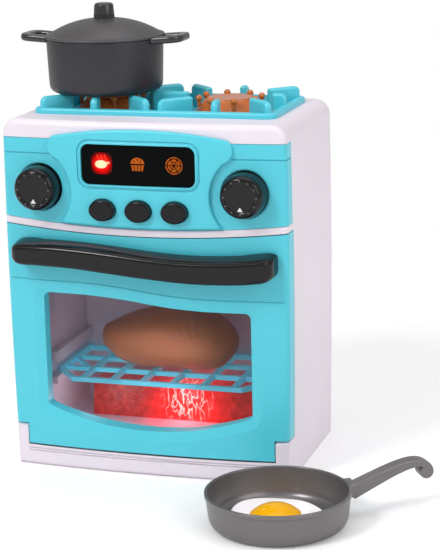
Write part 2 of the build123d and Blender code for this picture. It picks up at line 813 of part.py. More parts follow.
with BuildPart() as plate_hollow:
    add(front_piece(plate_face(wall), plate_inset, corner_y - 1.0))
    with BuildSketch(Plane.XZ):
        add(panel_face(seam + wall))
    extrude(amount=front_reach, mode=Mode.INTERSECT)
    with BuildSketch(Plane.XZ):
        with Locations((0, display_centre_height)):
            RectangleRounded(ring_width + wall, ring_height + wall, ring_corner)
    extrude(amount=front_reach, mode=Mode.SUBTRACT)
with BuildPart() as display_frame:
    add(front_piece(rounded_face(0, display_centre_height, display_width + 2 * display_frame_width,
                                 display_height + 2 * display_frame_width,
                                 display_corner_radius + display_frame_width),
                    -plate_lift - display_frame_rise, corner_y - plate_lift))
    fillet(display_frame.faces().sort_by(Axis.Y)[0].edges(), display_frame_rise * 0.8)
with BuildPart() as pane_pocket:
    add(front_piece(rounded_face(0, display_centre_height, display_width, display_height,
                                 display_corner_radius), -plate_lift - 2.0, corner_y))
    add(case_block(0, display_sink + display_thickness - plate_lift, corner_y), mode=Mode.SUBTRACT)
with BuildPart() as display_groove:
    add(front_piece(rounded_face(0, display_centre_height, ring_width, ring_height, ring_corner),
                    -plate_lift - 2.0, corner_y))
    add(front_piece(rounded_face(0, display_centre_height, ring_width - 2 * groove_width,
                                 ring_height - 2 * groove_width, ring_corner - groove_width),
                    -plate_lift - 3.0, corner_y + 1.0), mode=Mode.SUBTRACT)
    add(case_block(0, groove_depth - plate_lift, corner_y), mode=Mode.SUBTRACT)
with BuildPart() as panel_grooves:
    add(front_piece(rounded_face(0, panel_groove_height, 2 * wide, groove_width, groove_width / 3),
                    -1.0, panel_back, -1.0))
    add(case_block(groove_depth, groove_depth, panel_back, edge_radius), mode=Mode.SUBTRACT)
    with BuildSketch(Plane.XZ):
        Rectangle(2 * groove_start_x, 3 * body_height)
    extrude(amount=front_reach, mode=Mode.SUBTRACT)
with BuildPart() as control_panel:
    add(front_piece(panel_face(seam), 0, panel_back, 0, edge_radius))
    add(panel_plate.part)
    add(display_frame.part)
    add(display_groove.part, mode=Mode.SUBTRACT)
    add(front_piece(panel_face(seam + wall), wall, panel_back + 1.0, wall), mode=Mode.SUBTRACT)
    add(plate_hollow.part, mode=Mode.SUBTRACT)
    add(panel_grooves.part, mode=Mode.SUBTRACT)
    # recess, boss and sleeve of each knob
    with BuildSketch(Plane.XZ.offset(-knob_boss_back)):
        with Locations((-knob_spread, knob_height), (knob_spread, knob_height)):
            Circle(knob_boss_radius)
    extrude(amount=wall - seam)
    with BuildSketch(Plane.XZ.offset(-knob_sleeve_back)):
        with Locations((-knob_spread, knob_height), (knob_spread, knob_height)):
            Circle(knob_sleeve_radius)
    extrude(amount=knob_sleeve_back - knob_boss_back + seam / 2)
    with BuildSketch(Plane.XZ.offset(-knob_floor_y)):
        with Locations((-knob_spread, knob_height), (knob_spread, knob_height)):
            Circle(knob_recess_radius)
    extrude(amount=front_reach, mode=Mode.SUBTRACT)
    with BuildSketch(Plane.XZ):
        with Locations((-knob_spread, knob_height), (knob_spread, knob_height)):
            Circle(knob_shaft_radius + shaft_gap)
    extrude(amount=front_reach, mode=Mode.SUBTRACT)
    # posts for the circuit board
    with BuildSketch(Plane.XZ.offset(-board_front)):
        with Locations(*post_spots):
            Circle(post_radius)
    extrude(amount=-front_y(0, wall) + board_front)
    # holes for the buttons, the display and its pane
    with BuildSketch(Plane.XZ):
        with Locations((-button_pitch, button_height), (0, button_height), (button_pitch, button_height)):
            Ellipse(button_hole_wide / 2, button_hole_tall / 2)
        with Locations((0, display_centre_height)):
            RectangleRounded(display_opening_width, display_opening_height, display_corner_radius - 2)
    extrude(amount=front_reach, mode=Mode.SUBTRACT)
    add(pane_pocket.part, mode=Mode.SUBTRACT)

with BuildPart() as display_window:
    add(front_piece(rounded_face(0, display_centre_height, display_width - 2 * seam,
                                 display_height - 2 * seam, display_corner_radius - seam),
                    display_sink - plate_lift, corner_y))
    add(case_block(0, display_sink + display_thickness - plate_lift, corner_y), mode=Mode.SUBTRACT)

# board, lamps, switches and buttons behind the panel
board_back = board_front + board_thickness
board_low = panel_bottom + 4.7
board_high = panel_top - 3.0
board_half_width = 47.0
lamp_reach = front_y(lamp_pitch, display_sink + display_thickness - plate_lift) + 1.5
switch_size = 6.0
switch_height_above_board = 5.0
switch_well = button_travel + 0.3
flange_front = front_y(button_pitch + button_hole_wide / 2 + 1.5, plate_inset) + fit_gap
flange_thickness_button = 1.4
flange_wide = button_wide + 2.8
flange_tall = button_tall + 2.7
button_front = front_y(0) - plate_lift - button_proud
switch_face = board_front - switch_height_above_board
stem_end = switch_face + 2.2
button_dome = 1.6
with BuildPart() as circuit_board:
    with BuildSketch(Plane.XZ.offset(-board_back)):
        with Locations((0, (board_low + board_high) / 2)):
            RectangleRounded(2 * board_half_width, board_high - board_low, 2.0)
    extrude(amount=board_thickness)

with BuildPart() as display_lamps:
    with BuildSketch(Plane.XZ.offset(-board_front)):
        with Locations((-lamp_pitch, display_centre_height), (0, display_centre_height),
                       (lamp_pitch, display_centre_height)):
            Circle(lamp_radius)
    extrude(amount=board_front - lamp_reach)
    fillet(display_lamps.faces().sort_by(Axis.Y)[:3].edges(), lamp_radius * 0.7)

with BuildPart() as button_switches:
    with BuildSketch(Plane.XZ.offset(-board_front)):
        with Locations((-button_pitch, button_height), (0, button_height), (button_pitch, button_height)):
            Rectangle(switch_size, switch_size)
    extrude(amount=switch_height_above_board)
    with BuildSketch(Plane.XZ.offset(-switch_face)):
        with Locations((-button_pitch, button_height), (0, button_height), (button_pitch, button_height)):
            Circle(button_stem_radius + fit_gap)
    extrude(amount=-(stem_end + switch_well - switch_face), mode=Mode.SUBTRACT)

buttons = {}
for button_name, place in zip(("button_left", "button_middle", "button_right"), (-1, 0, 1)):
    with BuildPart() as button:
        with BuildSketch(Plane.XZ.offset(-flange_front)):
            with Locations((place * button_pitch, button_height)):
                Ellipse(button_wide / 2, button_tall / 2)
        extrude(amount=flange_front - button_front)
        fillet(button.faces().sort_by(Axis.Y)[0].edges(), button_dome)
        with BuildSketch(Plane.XZ.offset(-flange_front)):
            with Locations((place * button_pitch, button_height)):
                Ellipse(flange_wide / 2, flange_tall / 2)
        extrude(amount=-flange_thickness_button)
        with BuildSketch(Plane.XZ.offset(-flange_front)):
            with Locations((place * button_pitch, button_height)):
                Circle(button_stem_radius)
        extrude(amount=-(stem_end - flange_front))
    buttons[button_name] = button

# knobs
knob_back = knob_floor_y - fit_gap
shaft_end = knob_sleeve_back + fit_gap
dot_ring_radius = 8.0
dot_radius = 0.9
dot_rise = 0.4
pointer_length = 3.6
pointer_place = 11.0
washer_radius = 6.5
washer_thickness = 1.0
knob_screw_radius = 1.3
knob_screw_head = 2.0
knob_screw_depth = 8.0
knob_edge = 1.8
knobs = {}
for knob_name, side in (("knob_left", -1), ("knob_right", 1)):
    with BuildPart() as knob:
        knob_plane = upright(side * knob_spread, knob_back, knob_height)
        draft = degrees(atan((knob_base_radius - knob_face_radius) / knob_length))
        with BuildSketch(knob_plane):
            Circle(knob_base_radius)
        extrude(amount=knob_length, taper=draft)
        fillet(knob.faces().sort_by(Axis.Y)[0].edges(), knob_edge)
        with BuildSketch(knob_plane):
            Circle(knob_base_radius - knob_wall)
        extrude(amount=knob_length - knob_wall, taper=draft, mode=Mode.SUBTRACT)
        with BuildSketch(knob_plane.offset(knob_length - knob_wall)):
            Circle(knob_shaft_radius)
        extrude(amount=-(knob_length - knob_wall + shaft_end - knob_back))
        with BuildSketch(knob_plane.offset(knob_back - shaft_end)):
            Circle(knob_screw_radius)
        extrude(amount=knob_screw_depth, mode=Mode.SUBTRACT)
        # a ring of raised dots and a pointer on the face
        with BuildSketch(knob_plane.offset(knob_length)):
            with PolarLocations(dot_ring_radius, knob_dots):
                Circle(dot_radius)
            with Locations((0, -pointer_place)):
                Triangle(a=pointer_length, b=pointer_length, c=pointer_length * 0.9, align=Align.CENTER)
        extrude(amount=dot_rise)
    knobs[knob_name] = knob

knob_screws = {}
for screw_name, side in (("knob_screw_left", -1), ("knob_screw_right", 1)):
    with BuildPart() as knob_screw:
        end_plane = upright(side * knob_spread, shaft_end, knob_height, 180)
        with BuildSketch(end_plane):
            Circle(washer_radius)
        extrude(amount=washer_thickness)
        with BuildSketch(end_plane.offset(washer_thickness)):
            Circle(knob_screw_radius * 2)
        extrude(amount=knob_screw_head)
        with BuildSketch(end_plane):
            Circle(knob_screw_radius)
        extrude(amount=-(knob_screw_depth - 0.5))
    knob_screws[screw_name] = knob_screw

# door
foot_top = 33.0
foot_boss = 10.5
foot_back = hinge_y + 7.3
border = 8.5
border_back = corner_y + 8.0
handle_screw_x = 76.0
handle_screw_heights = [handle_left_height - 0.6, handle_right_height + 0.6]
handle_screw_depth = 6.5
screw_head_depth = 2.0
crease_depth = 0.5
screw_head_radius = 3.2
dimple_x = 74.5
dimple_height = 27.0
dimple_radius = 2.2
with BuildPart() as door_hollow:
    add(front_piece(door_face(-wall), wall, door_back + 1.0, wall))
    with BuildSketch(Plane.XZ.offset(-border_back)):
        add(window_face(border))
    extrude(amount=front_reach, mode=Mode.SUBTRACT)
    for side in (-1, 1):
        with BuildSketch(Plane.XZ):
            with Locations((side * (notch_half_width - foot_boss / 2), foot_top / 2)):
                Rectangle(foot_boss, foot_top)
        extrude(amount=front_reach, mode=Mode.SUBTRACT)
with BuildPart() as door_crease:
    add(front_piece(crease_face(groove_width), -1.0, corner_y, -1.0))
    add(case_block(crease_depth, crease_depth, corner_y + door_depth), mode=Mode.SUBTRACT)
with BuildPart() as door_panel:
    add(front_piece(door_face(), 0, door_back, 0, edge_radius))
    add(door_hollow.part, mode=Mode.SUBTRACT)
    # the foot is cut short at the back, so that it clears the case as it turns
    with BuildSketch(Plane.XY):
        with Locations((0, foot_back + door_depth / 2)):
            Rectangle(2 * wide, door_depth)
    extrude(amount=notch_height + door_gap, mode=Mode.SUBTRACT)
    with BuildSketch(Plane.XZ):
        add(window_face())
    extrude(amount=front_reach, mode=Mode.SUBTRACT)
    for side in (-1, 1):
        with BuildSketch(Plane.YZ.offset(side * (notch_half_width + 1.0))):
            with Locations((hinge_y, hinge_height)):
                Circle(hinge_pin_radius + shaft_gap)
        extrude(amount=-side * (foot_boss - 0.5), mode=Mode.SUBTRACT)
        with BuildSketch(Plane.XZ.offset(-front_y(dimple_x) - 2 * dimple_radius)):
            with Locations((side * dimple_x, dimple_height)):
                Circle(dimple_radius)
        extrude(amount=-(2 * dimple_radius + groove_depth), mode=Mode.SUBTRACT)
    with BuildSketch(Plane.XZ):
        with Locations((-handle_screw_x, handle_screw_heights[0]), (handle_screw_x, handle_screw_heights[1])):
            Circle(screw_hole)
    extrude(amount=front_reach, mode=Mode.SUBTRACT)
    front_surface = door_panel.faces().filter_by(GeomType.CYLINDER).sort_by(SortBy.AREA)[-1]
    window_edges = front_surface.inner_wires().sort_by(SortBy.LENGTH)[-1].edges()
    chamfer(window_edges, length=bevel_width, length2=bevel_depth, reference=front_surface)
    add(door_crease.part, mode=Mode.SUBTRACT)

with BuildPart() as door_window:
    with BuildSketch(Plane.XZ.offset(-border_back - pane_thickness)):
        add(window_face(border / 2))
    extrude(amount=pane_thickness)

finger_half = handle_half_width - handle_foot_length
handle_rounding = 3.0
with BuildPart() as finger_gap:
    add(case_block(0, handle_thick - handle_reach, hollow_front))
    with BuildSketch(Plane.XZ):
        with Locations((0, body_height / 2)):
            Rectangle(2 * finger_half, 2 * body_height)
    extrude(amount=front_reach + handle_reach, mode=Mode.INTERSECT)
with BuildPart() as door_handle:
    add(case_block(0, -handle_reach, hollow_front))
    with BuildSketch(Plane.XZ):
        add(handle_face())
    extrude(amount=front_reach + handle_reach, mode=Mode.INTERSECT)
    fillet(door_handle.faces().sort_by(Axis.Y)[0].edges(), handle_rounding)
    add(case_block(-1.0, -seam / 2, hollow_front), mode=Mode.SUBTRACT)
    add(finger_gap.part, mode=Mode.SUBTRACT)
    with BuildSketch(Plane.XZ.offset(-front_y(handle_screw_x) + handle_screw_depth)):
        with Locations((-handle_screw_x, handle_screw_heights[0]), (handle_screw_x, handle_screw_heights[1])):
            Circle(screw_radius)
    extrude(amount=-(handle_screw_depth + 0.5), mode=Mode.SUBTRACT)

with BuildPart() as handle_screws:
    head_y = front_y(handle_screw_x + screw_head_radius, wall) + 0.1
    with BuildSketch(Plane.XZ.offset(-head_y)):
        with Locations((-handle_screw_x, handle_screw_heights[0]), (handle_screw_x, handle_screw_heights[1])):
            Circle(screw_head_radius)
    extrude(amount=-screw_head_depth)
    with BuildSketch(Plane.XZ.offset(-head_y)):
        with Locations((-handle_screw_x, handle_screw_heights[0]), (handle_screw_x, handle_screw_heights[1])):
            Circle(screw_radius)
    extrude(amount=head_y - front_y(handle_screw_x) + handle_screw_depth - 0.5)

with BuildPart() as hinge_pins:
    for side in (-1, 1):
        with BuildSketch(Plane.YZ.offset(side * (notch_half_width - foot_boss + 1.5 + fit_gap))):
            with Locations((hinge_y, hinge_height)):
                Circle(hinge_pin_radius)
        pin_length = half_width - base_narrowing - wall - notch_half_width + foot_boss - fit_gap
        extrude(amount=side * pin_length)

# hob
dish_floor = body_height - hob_floor_sink
vane_low = dish_floor - hob_wall / 2
vane_height = body_height + vane_top - vane_low
vane_seat = 1.2
vane_end_radius = 4.0
vane_nose_radius = 1.4
vane_edge = 1.3
dish_half_width = hob_width / 2 - hob_rim_width
dish_half_depth = hob_depth / 2 - hob_rim_width
burner_hole = burner_foot_radius - 3.0


def vane_solid(side, turn):
    """One vane of a burner's pan support, at turn degrees from the outward direction."""
    outward = cos(radians(turn))
    along = sin(radians(turn))
    reach_out = (dish_half_width - burner_spread) / max(outward, 0.01)
    reach_along = dish_half_depth / max(abs(along), 0.01)
    outer_end = vane_end_radius
    if outward < -0.9:
        # the middle vanes of the two burners run into each other
        reach = burner_spread
        outer_end = 0
    elif outward < -0.1:
        reach = reach_along + vane_seat
    else:
        reach = min(reach_out, reach_along) + vane_seat
        if outward > 0.1 and abs(along) > 0.1:
            reach -= (dish_corner - hob_wall) * (sqrt(2) - 1)
    across = outward * side
    vane_plane = Plane(origin=(side * burner_spread, hob_centre_y, vane_low),
                       x_dir=(across, along, 0), z_dir=(along, -across, 0))
    with BuildPart() as vane:
        with BuildSketch(vane_plane.offset(-vane_thickness / 2)):
            with Locations(((vane_inner_radius + reach) / 2, vane_height / 2)):
                Rectangle(reach - vane_inner_radius, vane_height)
        extrude(amount=vane_thickness)
        high = vane.faces().sort_by(Axis.Z)[-1]
        ends = high.edges().filter_by(lambda e: abs(e.length - vane_thickness) < 0.01)
        ends = ends.sort_by(lambda e: (e.center() - vane_plane.origin).length)
        fillet(ends[0], vane_nose_radius)
        if outer_end:
            fillet(vane.faces().sort_by(Axis.Z)[-1].edges().sort_by(
                lambda e: (e.center() - vane_plane.origin).length)[-1], outer_end)
        chamfer(vane.faces().sort_by(Axis.Z)[-1].edges().filter_by(
            lambda e: abs(e.length - vane_thickness) > 0.01), vane_edge)
    return vane.part


vanes = [vane_solid(side, turn) for side in (-1, 1) for turn in range(0, 360, 45)]
with BuildPart() as hob_tray:
    with BuildSketch(Plane.XY.offset(body_height)):
        with Locations((0, hob_centre_y)):
            RectangleRounded(hob_width, hob_depth, hob_corner_radius)
    extrude(amount=hob_rim_height)
    fillet(hob_tray.faces().sort_by(Axis.Z)[-1].edges(), 1.6)
    with BuildSketch(Plane.XY.offset(dish_floor - hob_wall)):
        with Locations((0, hob_centre_y)):
            RectangleRounded(dish_width, dish_depth, dish_corner)
    extrude(amount=hob_floor_sink + hob_wall)
    with BuildSketch(Plane.XY.offset(dish_floor)):
        with Locations((0, hob_centre_y)):
            RectangleRounded(2 * dish_half_width, 2 * dish_half_depth, dish_corner - hob_wall)
    extrude(amount=hob_floor_sink + hob_rim_height, mode=Mode.SUBTRACT)
    for side in (-1, 1):
        with BuildSketch(Plane.XY.offset(dish_floor - hob_wall)):
            with Locations((side * burner_spread, hob_centre_y)):
                Circle(burner_hole)
        extrude(amount=hob_wall, mode=Mode.SUBTRACT)
    for vane in vanes:
        add(vane)

cone_shoulder = 1.3          # rounding of the cap's edge
cone_wall = 1.6
foot_rim = 1.0
cap_top = dish_floor + hob_floor_sink + burner_cap_height
cone_top = cap_top - cone_shoulder
bead_centre = cap_top - 0.3
stem_radius = 1.1
stem_drop = 4.5
burners = {}
for burner_name, side in (("burner_left", -1), ("burner_right", 1)):
    burner_x = side * burner_spread
    with BuildPart() as burner:
        with BuildSketch(upright(burner_x, hob_centre_y, 0)):
            with BuildLine():
                Polyline((burner_hole, dish_floor), (burner_foot_radius, dish_floor),
                         (burner_foot_radius, dish_floor + foot_rim), (burner_cap_radius + 0.5, cone_top),
                         (burner_cap_radius, cone_top))
                RadiusArc((burner_cap_radius, cone_top), (burner_cap_radius - cone_shoulder, cap_top),
                          cone_shoulder)
                Polyline((burner_cap_radius - cone_shoulder, cap_top), (0, cap_top), (0, cap_top - cone_wall),
                         (burner_cap_radius - cone_wall, cap_top - cone_wall), (burner_hole, dish_floor))
            make_face()
        revolve(axis=Axis((burner_x, hob_centre_y, 0), (0, 0, 1)))
        with BuildSketch(Plane.XY.offset(cone_top - stem_drop)):
            with Locations((burner_x, hob_centre_y)):
                with PolarLocations(bead_ring_radius, beads, start_angle=180 / beads):
                    Circle(stem_radius)
        extrude(amount=bead_centre - cone_top + stem_drop)
        with Locations((burner_x, hob_centre_y, bead_centre)):
            with PolarLocations(bead_ring_radius, beads, start_angle=180 / beads):
                Sphere(bead_radius)
    burners[burner_name] = burner

lamp_board_wide = 12.0
lamp_length = 5.0
lamp_board_thickness = 1.6
with BuildPart() as burner_lamps:
    with BuildSketch(Plane.XY.offset(dish_floor - hob_wall)):
        with Locations((-burner_spread, hob_centre_y), (burner_spread, hob_centre_y)):
            Rectangle(2 * burner_foot_radius + 2.0, lamp_board_wide)
    extrude(amount=-lamp_board_thickness)
    with BuildSketch(Plane.XY.offset(dish_floor - hob_wall)):
        with Locations((-burner_spread, hob_centre_y), (burner_spread, hob_centre_y)):
            Circle(lamp_radius)
    extrude(amount=lamp_length)
    fillet(burner_lamps.faces().sort_by(Axis.Z)[-2:].edges(), lamp_radius * 0.7)

# fire box on the cavity's floor
fire_middle_y = fire_box_front + fire_box_depth / 2
fire_corner = 4.0
fire_edge = 3.0
with BuildPart() as fire_box:
    with BuildSketch(Plane.XY.offset(cavity_floor)):
        with Locations((0, fire_middle_y)):
            RectangleRounded(fire_box_width, fire_box_depth, fire_corner)
    extrude(amount=fire_box_height, taper=fire_draft)
    fillet(fire_box.faces().sort_by(Axis.Z)[-1].edges(), fire_edge)
    with BuildSketch(Plane.XY.offset(cavity_floor)):
        with Locations((0, fire_middle_y)):
            RectangleRounded(fire_box_width - 2 * fire_wall, fire_box_depth - 2 * fire_wall,
                             fire_corner - fire_wall)
    extrude(amount=fire_box_height - fire_wall, taper=fire_draft, mode=Mode.SUBTRACT)

fire_lamp_pitch = 40.0
fire_lamp_length = 7.0
fire_board_inset = 10.0
fire_board_depth = 18.0
with BuildPart() as fire_lamps:
    with BuildSketch(Plane.XY.offset(cavity_floor)):
        with Locations((0, fire_middle_y)):
            Rectangle(fire_box_width - 2 * fire_board_inset, fire_board_depth)
    extrude(amount=board_thickness)
    with BuildSketch(Plane.XY.offset(cavity_floor + board_thickness)):
        with Locations(*[(n * fire_lamp_pitch, fire_middle_y) for n in (-1, 0, 1)]):
            Circle(lamp_radius)
    extrude(amount=fire_lamp_length)
    fillet(fire_lamps.faces().sort_by(Axis.Z)[-3:].edges(), lamp_radius * 0.7)

# oven rack
rack_front = hollow_front + 2.0
rack_back = cavity_back - 2.0
rack_corner_x = 59.0
rack_corner_y = rack_front + 19.5
rack_cross_bars = (-15.0, 10.0)
rack_foot_x = 56.0
brace_run = rack_half_width - rack_foot_x
brace_rise = rack_cross_bars[1] - rack_cross_bars[0]
brace_length = sqrt(brace_run**2 + brace_rise**2) - 1.6 * rack_bar
brace_turn = degrees(atan(brace_rise / brace_run))
with BuildPart() as oven_rack:
    with BuildSketch(level(rack_shift, 0, rack_height)):
        for inset in (0, rack_bar):
            with BuildLine():
                side = rack_half_width - inset
                front = rack_front - rack_bar / 2 + inset
                rear = rack_back + rack_bar / 2 - inset
                slant = rack_corner_x - inset * 0.4
                Polyline((-slant, front), (slant, front), (side, rack_corner_y + inset * 0.4), (side, rear),
                         (-side, rear), (-side, rack_corner_y + inset * 0.4), (-slant, front))
            make_face(mode=Mode.SUBTRACT if inset else Mode.ADD)
        for y in rack_cross_bars:
            with Locations((0, y)):
                Rectangle(2 * rack_half_width, rack_bar)
        for n in range(rack_rods):
            with Locations(((n - (rack_rods - 1) / 2) * rack_pitch, (rack_front + rack_back) / 2)):
                Rectangle(rack_bar, rack_back - rack_front)
        for side in (-1, 1):
            brace_x = (rack_foot_x + rack_half_width) / 2
            brace_y = (rack_cross_bars[0] + rack_cross_bars[1]) / 2
            with Locations(Location((side * brace_x, brace_y), side * brace_turn)):
                Rectangle(brace_length, rack_bar)
    extrude(amount=rack_thickness)

# roast chicken
meat_gap = 0.1
roast_floor = rack_height + rack_thickness + meat_gap


def lump(x, y, z, long, deep, tall, turn):
    """A ball stretched to its half sizes, all given as shares of the roast's length, depth and height."""
    ball = scale(Sphere(1.0), by=(long * roast_length, deep * roast_depth, tall * roast_height))
    place = Pos(x * roast_length, y * roast_depth, roast_floor + z * roast_height)
    return place * Rot(0, turn / 2, turn) * ball


# breast, neck end, rump, leg and wing
lumps = [
    lump(-0.043, 0.017, 0.486, 0.406, 0.45, 0.512, 0.0),
    lump(-0.288, -0.017, 0.355, 0.256, 0.333, 0.369, 8.0),
    lump(0.235, -0.133, 0.474, 0.203, 0.333, 0.429, -20.0),
    lump(0.342, -0.283, 0.319, 0.128, 0.142, 0.19, 35.0),
    lump(-0.139, -0.4, 0.283, 0.171, 0.117, 0.19, -14.0),
]
with BuildPart() as roast_chicken:
    for piece in lumps:
        add(piece)
    with BuildSketch(Plane.XY.offset(roast_floor)):
        Rectangle(2 * roast_length, 2 * roast_depth)
    extrude(amount=-roast_height, mode=Mode.SUBTRACT)

# pot
rest_gap = 0.1
pot_floor = body_height + vane_top + rest_gap
pot_rim = pot_floor + pot_height
ear_tilt = 11.0
ear_thick = 4.4
ear_root_drop = 4.2
ear_root = pot_rim_radius - 2.5
pot_axis = Axis((pot_x, pot_y, 0), (0, 0, 1))
pot_section = upright(pot_x, pot_y, pot_floor)


def ear_solid(side):
    """One ear of the pot: a flat loop that tilts up from the wall."""
    tilt = radians(ear_tilt)
    plane = Plane(origin=(pot_x + side * ear_root, pot_y, pot_rim - ear_root_drop),
                  x_dir=(side * cos(tilt), 0, sin(tilt)), z_dir=(-side * sin(tilt), 0, cos(tilt)))
    reach = (pot_ear_reach - ear_root) / cos(tilt)
    with BuildPart() as ear:
        with BuildSketch(plane.offset(-ear_thick / 2)):
            with Locations((reach / 2, 0)):
                Rectangle(reach, pot_ear_length)
        extrude(amount=ear_thick)
        outer = ear.edges().filter_by(lambda e: abs(e.length - ear_thick) < 0.01).sort_by(
            lambda e: abs(e.center().X - pot_x))[-2:]
        fillet(outer, pot_ear_length * 0.33)
        with BuildSketch(plane.offset(-ear_thick / 2)):
            with Locations(((reach - pot_ear_bar) / 2, 0)):
                Rectangle(reach - pot_ear_bar, pot_ear_length - 2 * pot_ear_bar)
        extrude(amount=ear_thick, mode=Mode.SUBTRACT)
    return ear.part


ears = [ear_solid(side) for side in (-1, 1)]
with BuildPart() as pot_body:
    with BuildSketch(pot_section):
        with BuildLine():
            Polyline((0, 0), (pot_base_radius, 0), (pot_rim_radius, pot_height), (0, pot_height), (0, 0))
        make_face()
    revolve(axis=pot_axis)
    fillet(pot_body.faces().sort_by(Axis.Z)[0].edges(), pot_base_fillet)
    add(ears)
    with BuildSketch(pot_section):
        with BuildLine():
            Polyline((0, pot_wall), (pot_base_radius - pot_wall, pot_wall),
                     (pot_rim_radius - pot_wall, pot_height), (0, pot_height), (0, pot_wall))
        make_face()
    revolve(axis=pot_axis, mode=Mode.SUBTRACT)
    inner_floor = pot_body.edges().filter_by(GeomType.CIRCLE).filter_by(
        lambda e: abs(e.center().Z - pot_floor - pot_wall) < 0.01)
    fillet(inner_floor, pot_base_fillet - pot_wall)

lid_floor = pot_rim + rest_gap
lid_ring_depth = 2.5
lid_ring_wall = 1.6
lid_edge = 0.8
lid_section = upright(pot_x, pot_y, lid_floor)
lid_ring_radius = pot_rim_radius - pot_wall - fit_gap
dome_foot = lid_radius - 3.5
dome_rise = lid_dome - lid_rim_height
with BuildPart() as pot_lid:
    with BuildSketch(lid_section):
        with BuildLine():
            Polyline((lid_radius, 0), (lid_radius, lid_rim_height), (dome_foot, lid_rim_height))
            Spline((dome_foot, lid_rim_height), (dome_foot * 0.62, lid_rim_height + dome_rise * 0.66),
                   (0, lid_dome), tangents=((-0.86, 0.5), (-1, 0)))
            Polyline((0, lid_dome), (0, lid_dome - lid_wall))
            Spline((0, lid_dome - lid_wall), (dome_foot * 0.6, lid_rim_height + dome_rise * 0.66 - lid_wall),
                   (dome_foot - 1.5, 0), tangents=((1, 0), (0.86, -0.5)))
            Polyline((dome_foot - 1.5, 0), (lid_radius, 0))
        make_face()
    revolve(axis=pot_axis)
    fillet(pot_lid.edges().filter_by(GeomType.CIRCLE).filter_by(
        lambda e: abs(e.radius - lid_radius) < 0.01), lid_edge)
    with BuildSketch(level(pot_x, pot_y, lid_floor - lid_ring_depth)):
        Circle(lid_ring_radius)
        Circle(lid_ring_radius - lid_ring_wall, mode=Mode.SUBTRACT)
    extrude(amount=lid_ring_depth + 0.8)

knob_ribs = 28
rib_radius = 0.4
rib_height = 3.6
lid_screw_radius = 2.0
lid_screw_depth = 8.0
knob_shoulder = lid_knob_radius - 0.6
knob_rise = 4.0
knob_top = lid_floor + lid_dome + lid_knob_height
with BuildPart() as lid_knob:
    with BuildSketch(upright(pot_x, pot_y, knob_top - lid_knob_height)):
        with BuildLine():
            Polyline((0, 0), (lid_knob_radius, 0), (knob_shoulder, lid_knob_height - knob_rise))
            half_rise = dome_z(knob_shoulder / 2, knob_shoulder, knob_rise)
            ThreePointArc((knob_shoulder, lid_knob_height - knob_rise),
                          (knob_shoulder / 2, lid_knob_height - knob_rise + half_rise), (0, lid_knob_height))
            Line((0, lid_knob_height), (0, 0))
        make_face()
    revolve(axis=pot_axis)
    with BuildSketch(level(pot_x, pot_y, knob_top - lid_knob_height)):
        with PolarLocations(lid_knob_radius + 0.15, knob_ribs):
            Circle(rib_radius)
    extrude(amount=rib_height, mode=Mode.SUBTRACT)
    with BuildSketch(level(pot_x, pot_y, knob_top - lid_knob_height)):
        Circle(lid_screw_radius)
    extrude(amount=lid_screw_depth, mode=Mode.SUBTRACT)

# frying pan and egg
pan_axis = Axis((pan_x, pan_y, 0), (0, 0, 1))
pan_section = upright(pan_x, pan_y, 0, pan_handle_turn)
pan_fillet = 5.0
bracket_root = pan_rim_radius - 1.5
bracket_reach = 6.5
bracket_wall = 1.8
bracket_tall = 9.5
bracket_floor = 2.0
bracket_corner = 1.5
handle_start = pan_rim_radius + bracket_wall
handle_low = pan_height - bracket_tall + bracket_floor
handle_tip_r = pan_handle_reach - pan_handle_tip_radius
handle_tip_z = pan_height + 4.8
arch_r = handle_tip_r - 6.0
arch_z = handle_tip_z + 9.2
with BuildPart() as pan_bowl:
    with BuildSketch(pan_section):
        with BuildLine():
            Polyline((0, 0), (pan_base_radius, 0), (pan_rim_radius, pan_height), (0, pan_height), (0, 0))
        make_face()
    revolve(axis=pan_axis)
    fillet(pan_bowl.faces().sort_by(Axis.Z)[0].edges(), pan_fillet)
    # the bracket that holds the handle
    with BuildSketch(level(pan_x, pan_y, pan_height - bracket_tall, pan_handle_turn)):
        with Locations((bracket_root + bracket_reach / 2, 0)):
            RectangleRounded(bracket_reach + 3.0, pan_handle_wide + 2 * (bracket_wall + seam), bracket_corner)
    extrude(amount=bracket_tall)
    with BuildSketch(pan_section):
        with BuildLine():
            Polyline((0, pan_wall), (pan_base_radius - pan_wall, pan_wall),
                     (pan_rim_radius - pan_wall, pan_height), (0, pan_height), (0, pan_wall))
        make_face()
    revolve(axis=pan_axis, mode=Mode.SUBTRACT)
    inner_floor = pan_bowl.edges().filter_by(GeomType.CIRCLE).filter_by(
        lambda e: abs(e.center().Z - pan_wall) < 0.01)
    fillet(inner_floor, pan_fillet - pan_wall)
    with BuildSketch(level(pan_x, pan_y, handle_low, pan_handle_turn)):
        with Locations((handle_start - seam + bracket_reach, 0)):
            Rectangle(2 * bracket_reach, pan_handle_wide + 2 * seam)
    extrude(amount=bracket_tall, mode=Mode.SUBTRACT)

# the handle seen from its side: a bar that climbs, arches over and runs down into a lying barrel
with BuildPart() as pan_handle:
    with BuildSketch(pan_section.offset(-pan_handle_wide / 2)):
        with BuildLine():
            low = [(handle_start, handle_low + seam), (62.0, handle_low + 7.6), (76.0, handle_low + 16.2),
                   (arch_r, arch_z - pan_handle_thick * 0.8)]
            high = [(handle_start, handle_low + seam + pan_handle_thick), (61.0, handle_low + 14.0),
                    (74.0, handle_low + 22.6), (arch_r, arch_z), (handle_tip_r + 3.6, handle_tip_z + 6.2),
                    (pan_handle_reach, handle_tip_z)]
            Spline(*low)
            Spline(*high)
            Line(low[0], high[0])
            Polyline(low[-1], (handle_tip_r, handle_tip_z), high[-1])
        make_face()
        with Locations((handle_tip_r, handle_tip_z)):
            Circle(pan_handle_tip_radius)
    extrude(amount=pan_handle_wide)

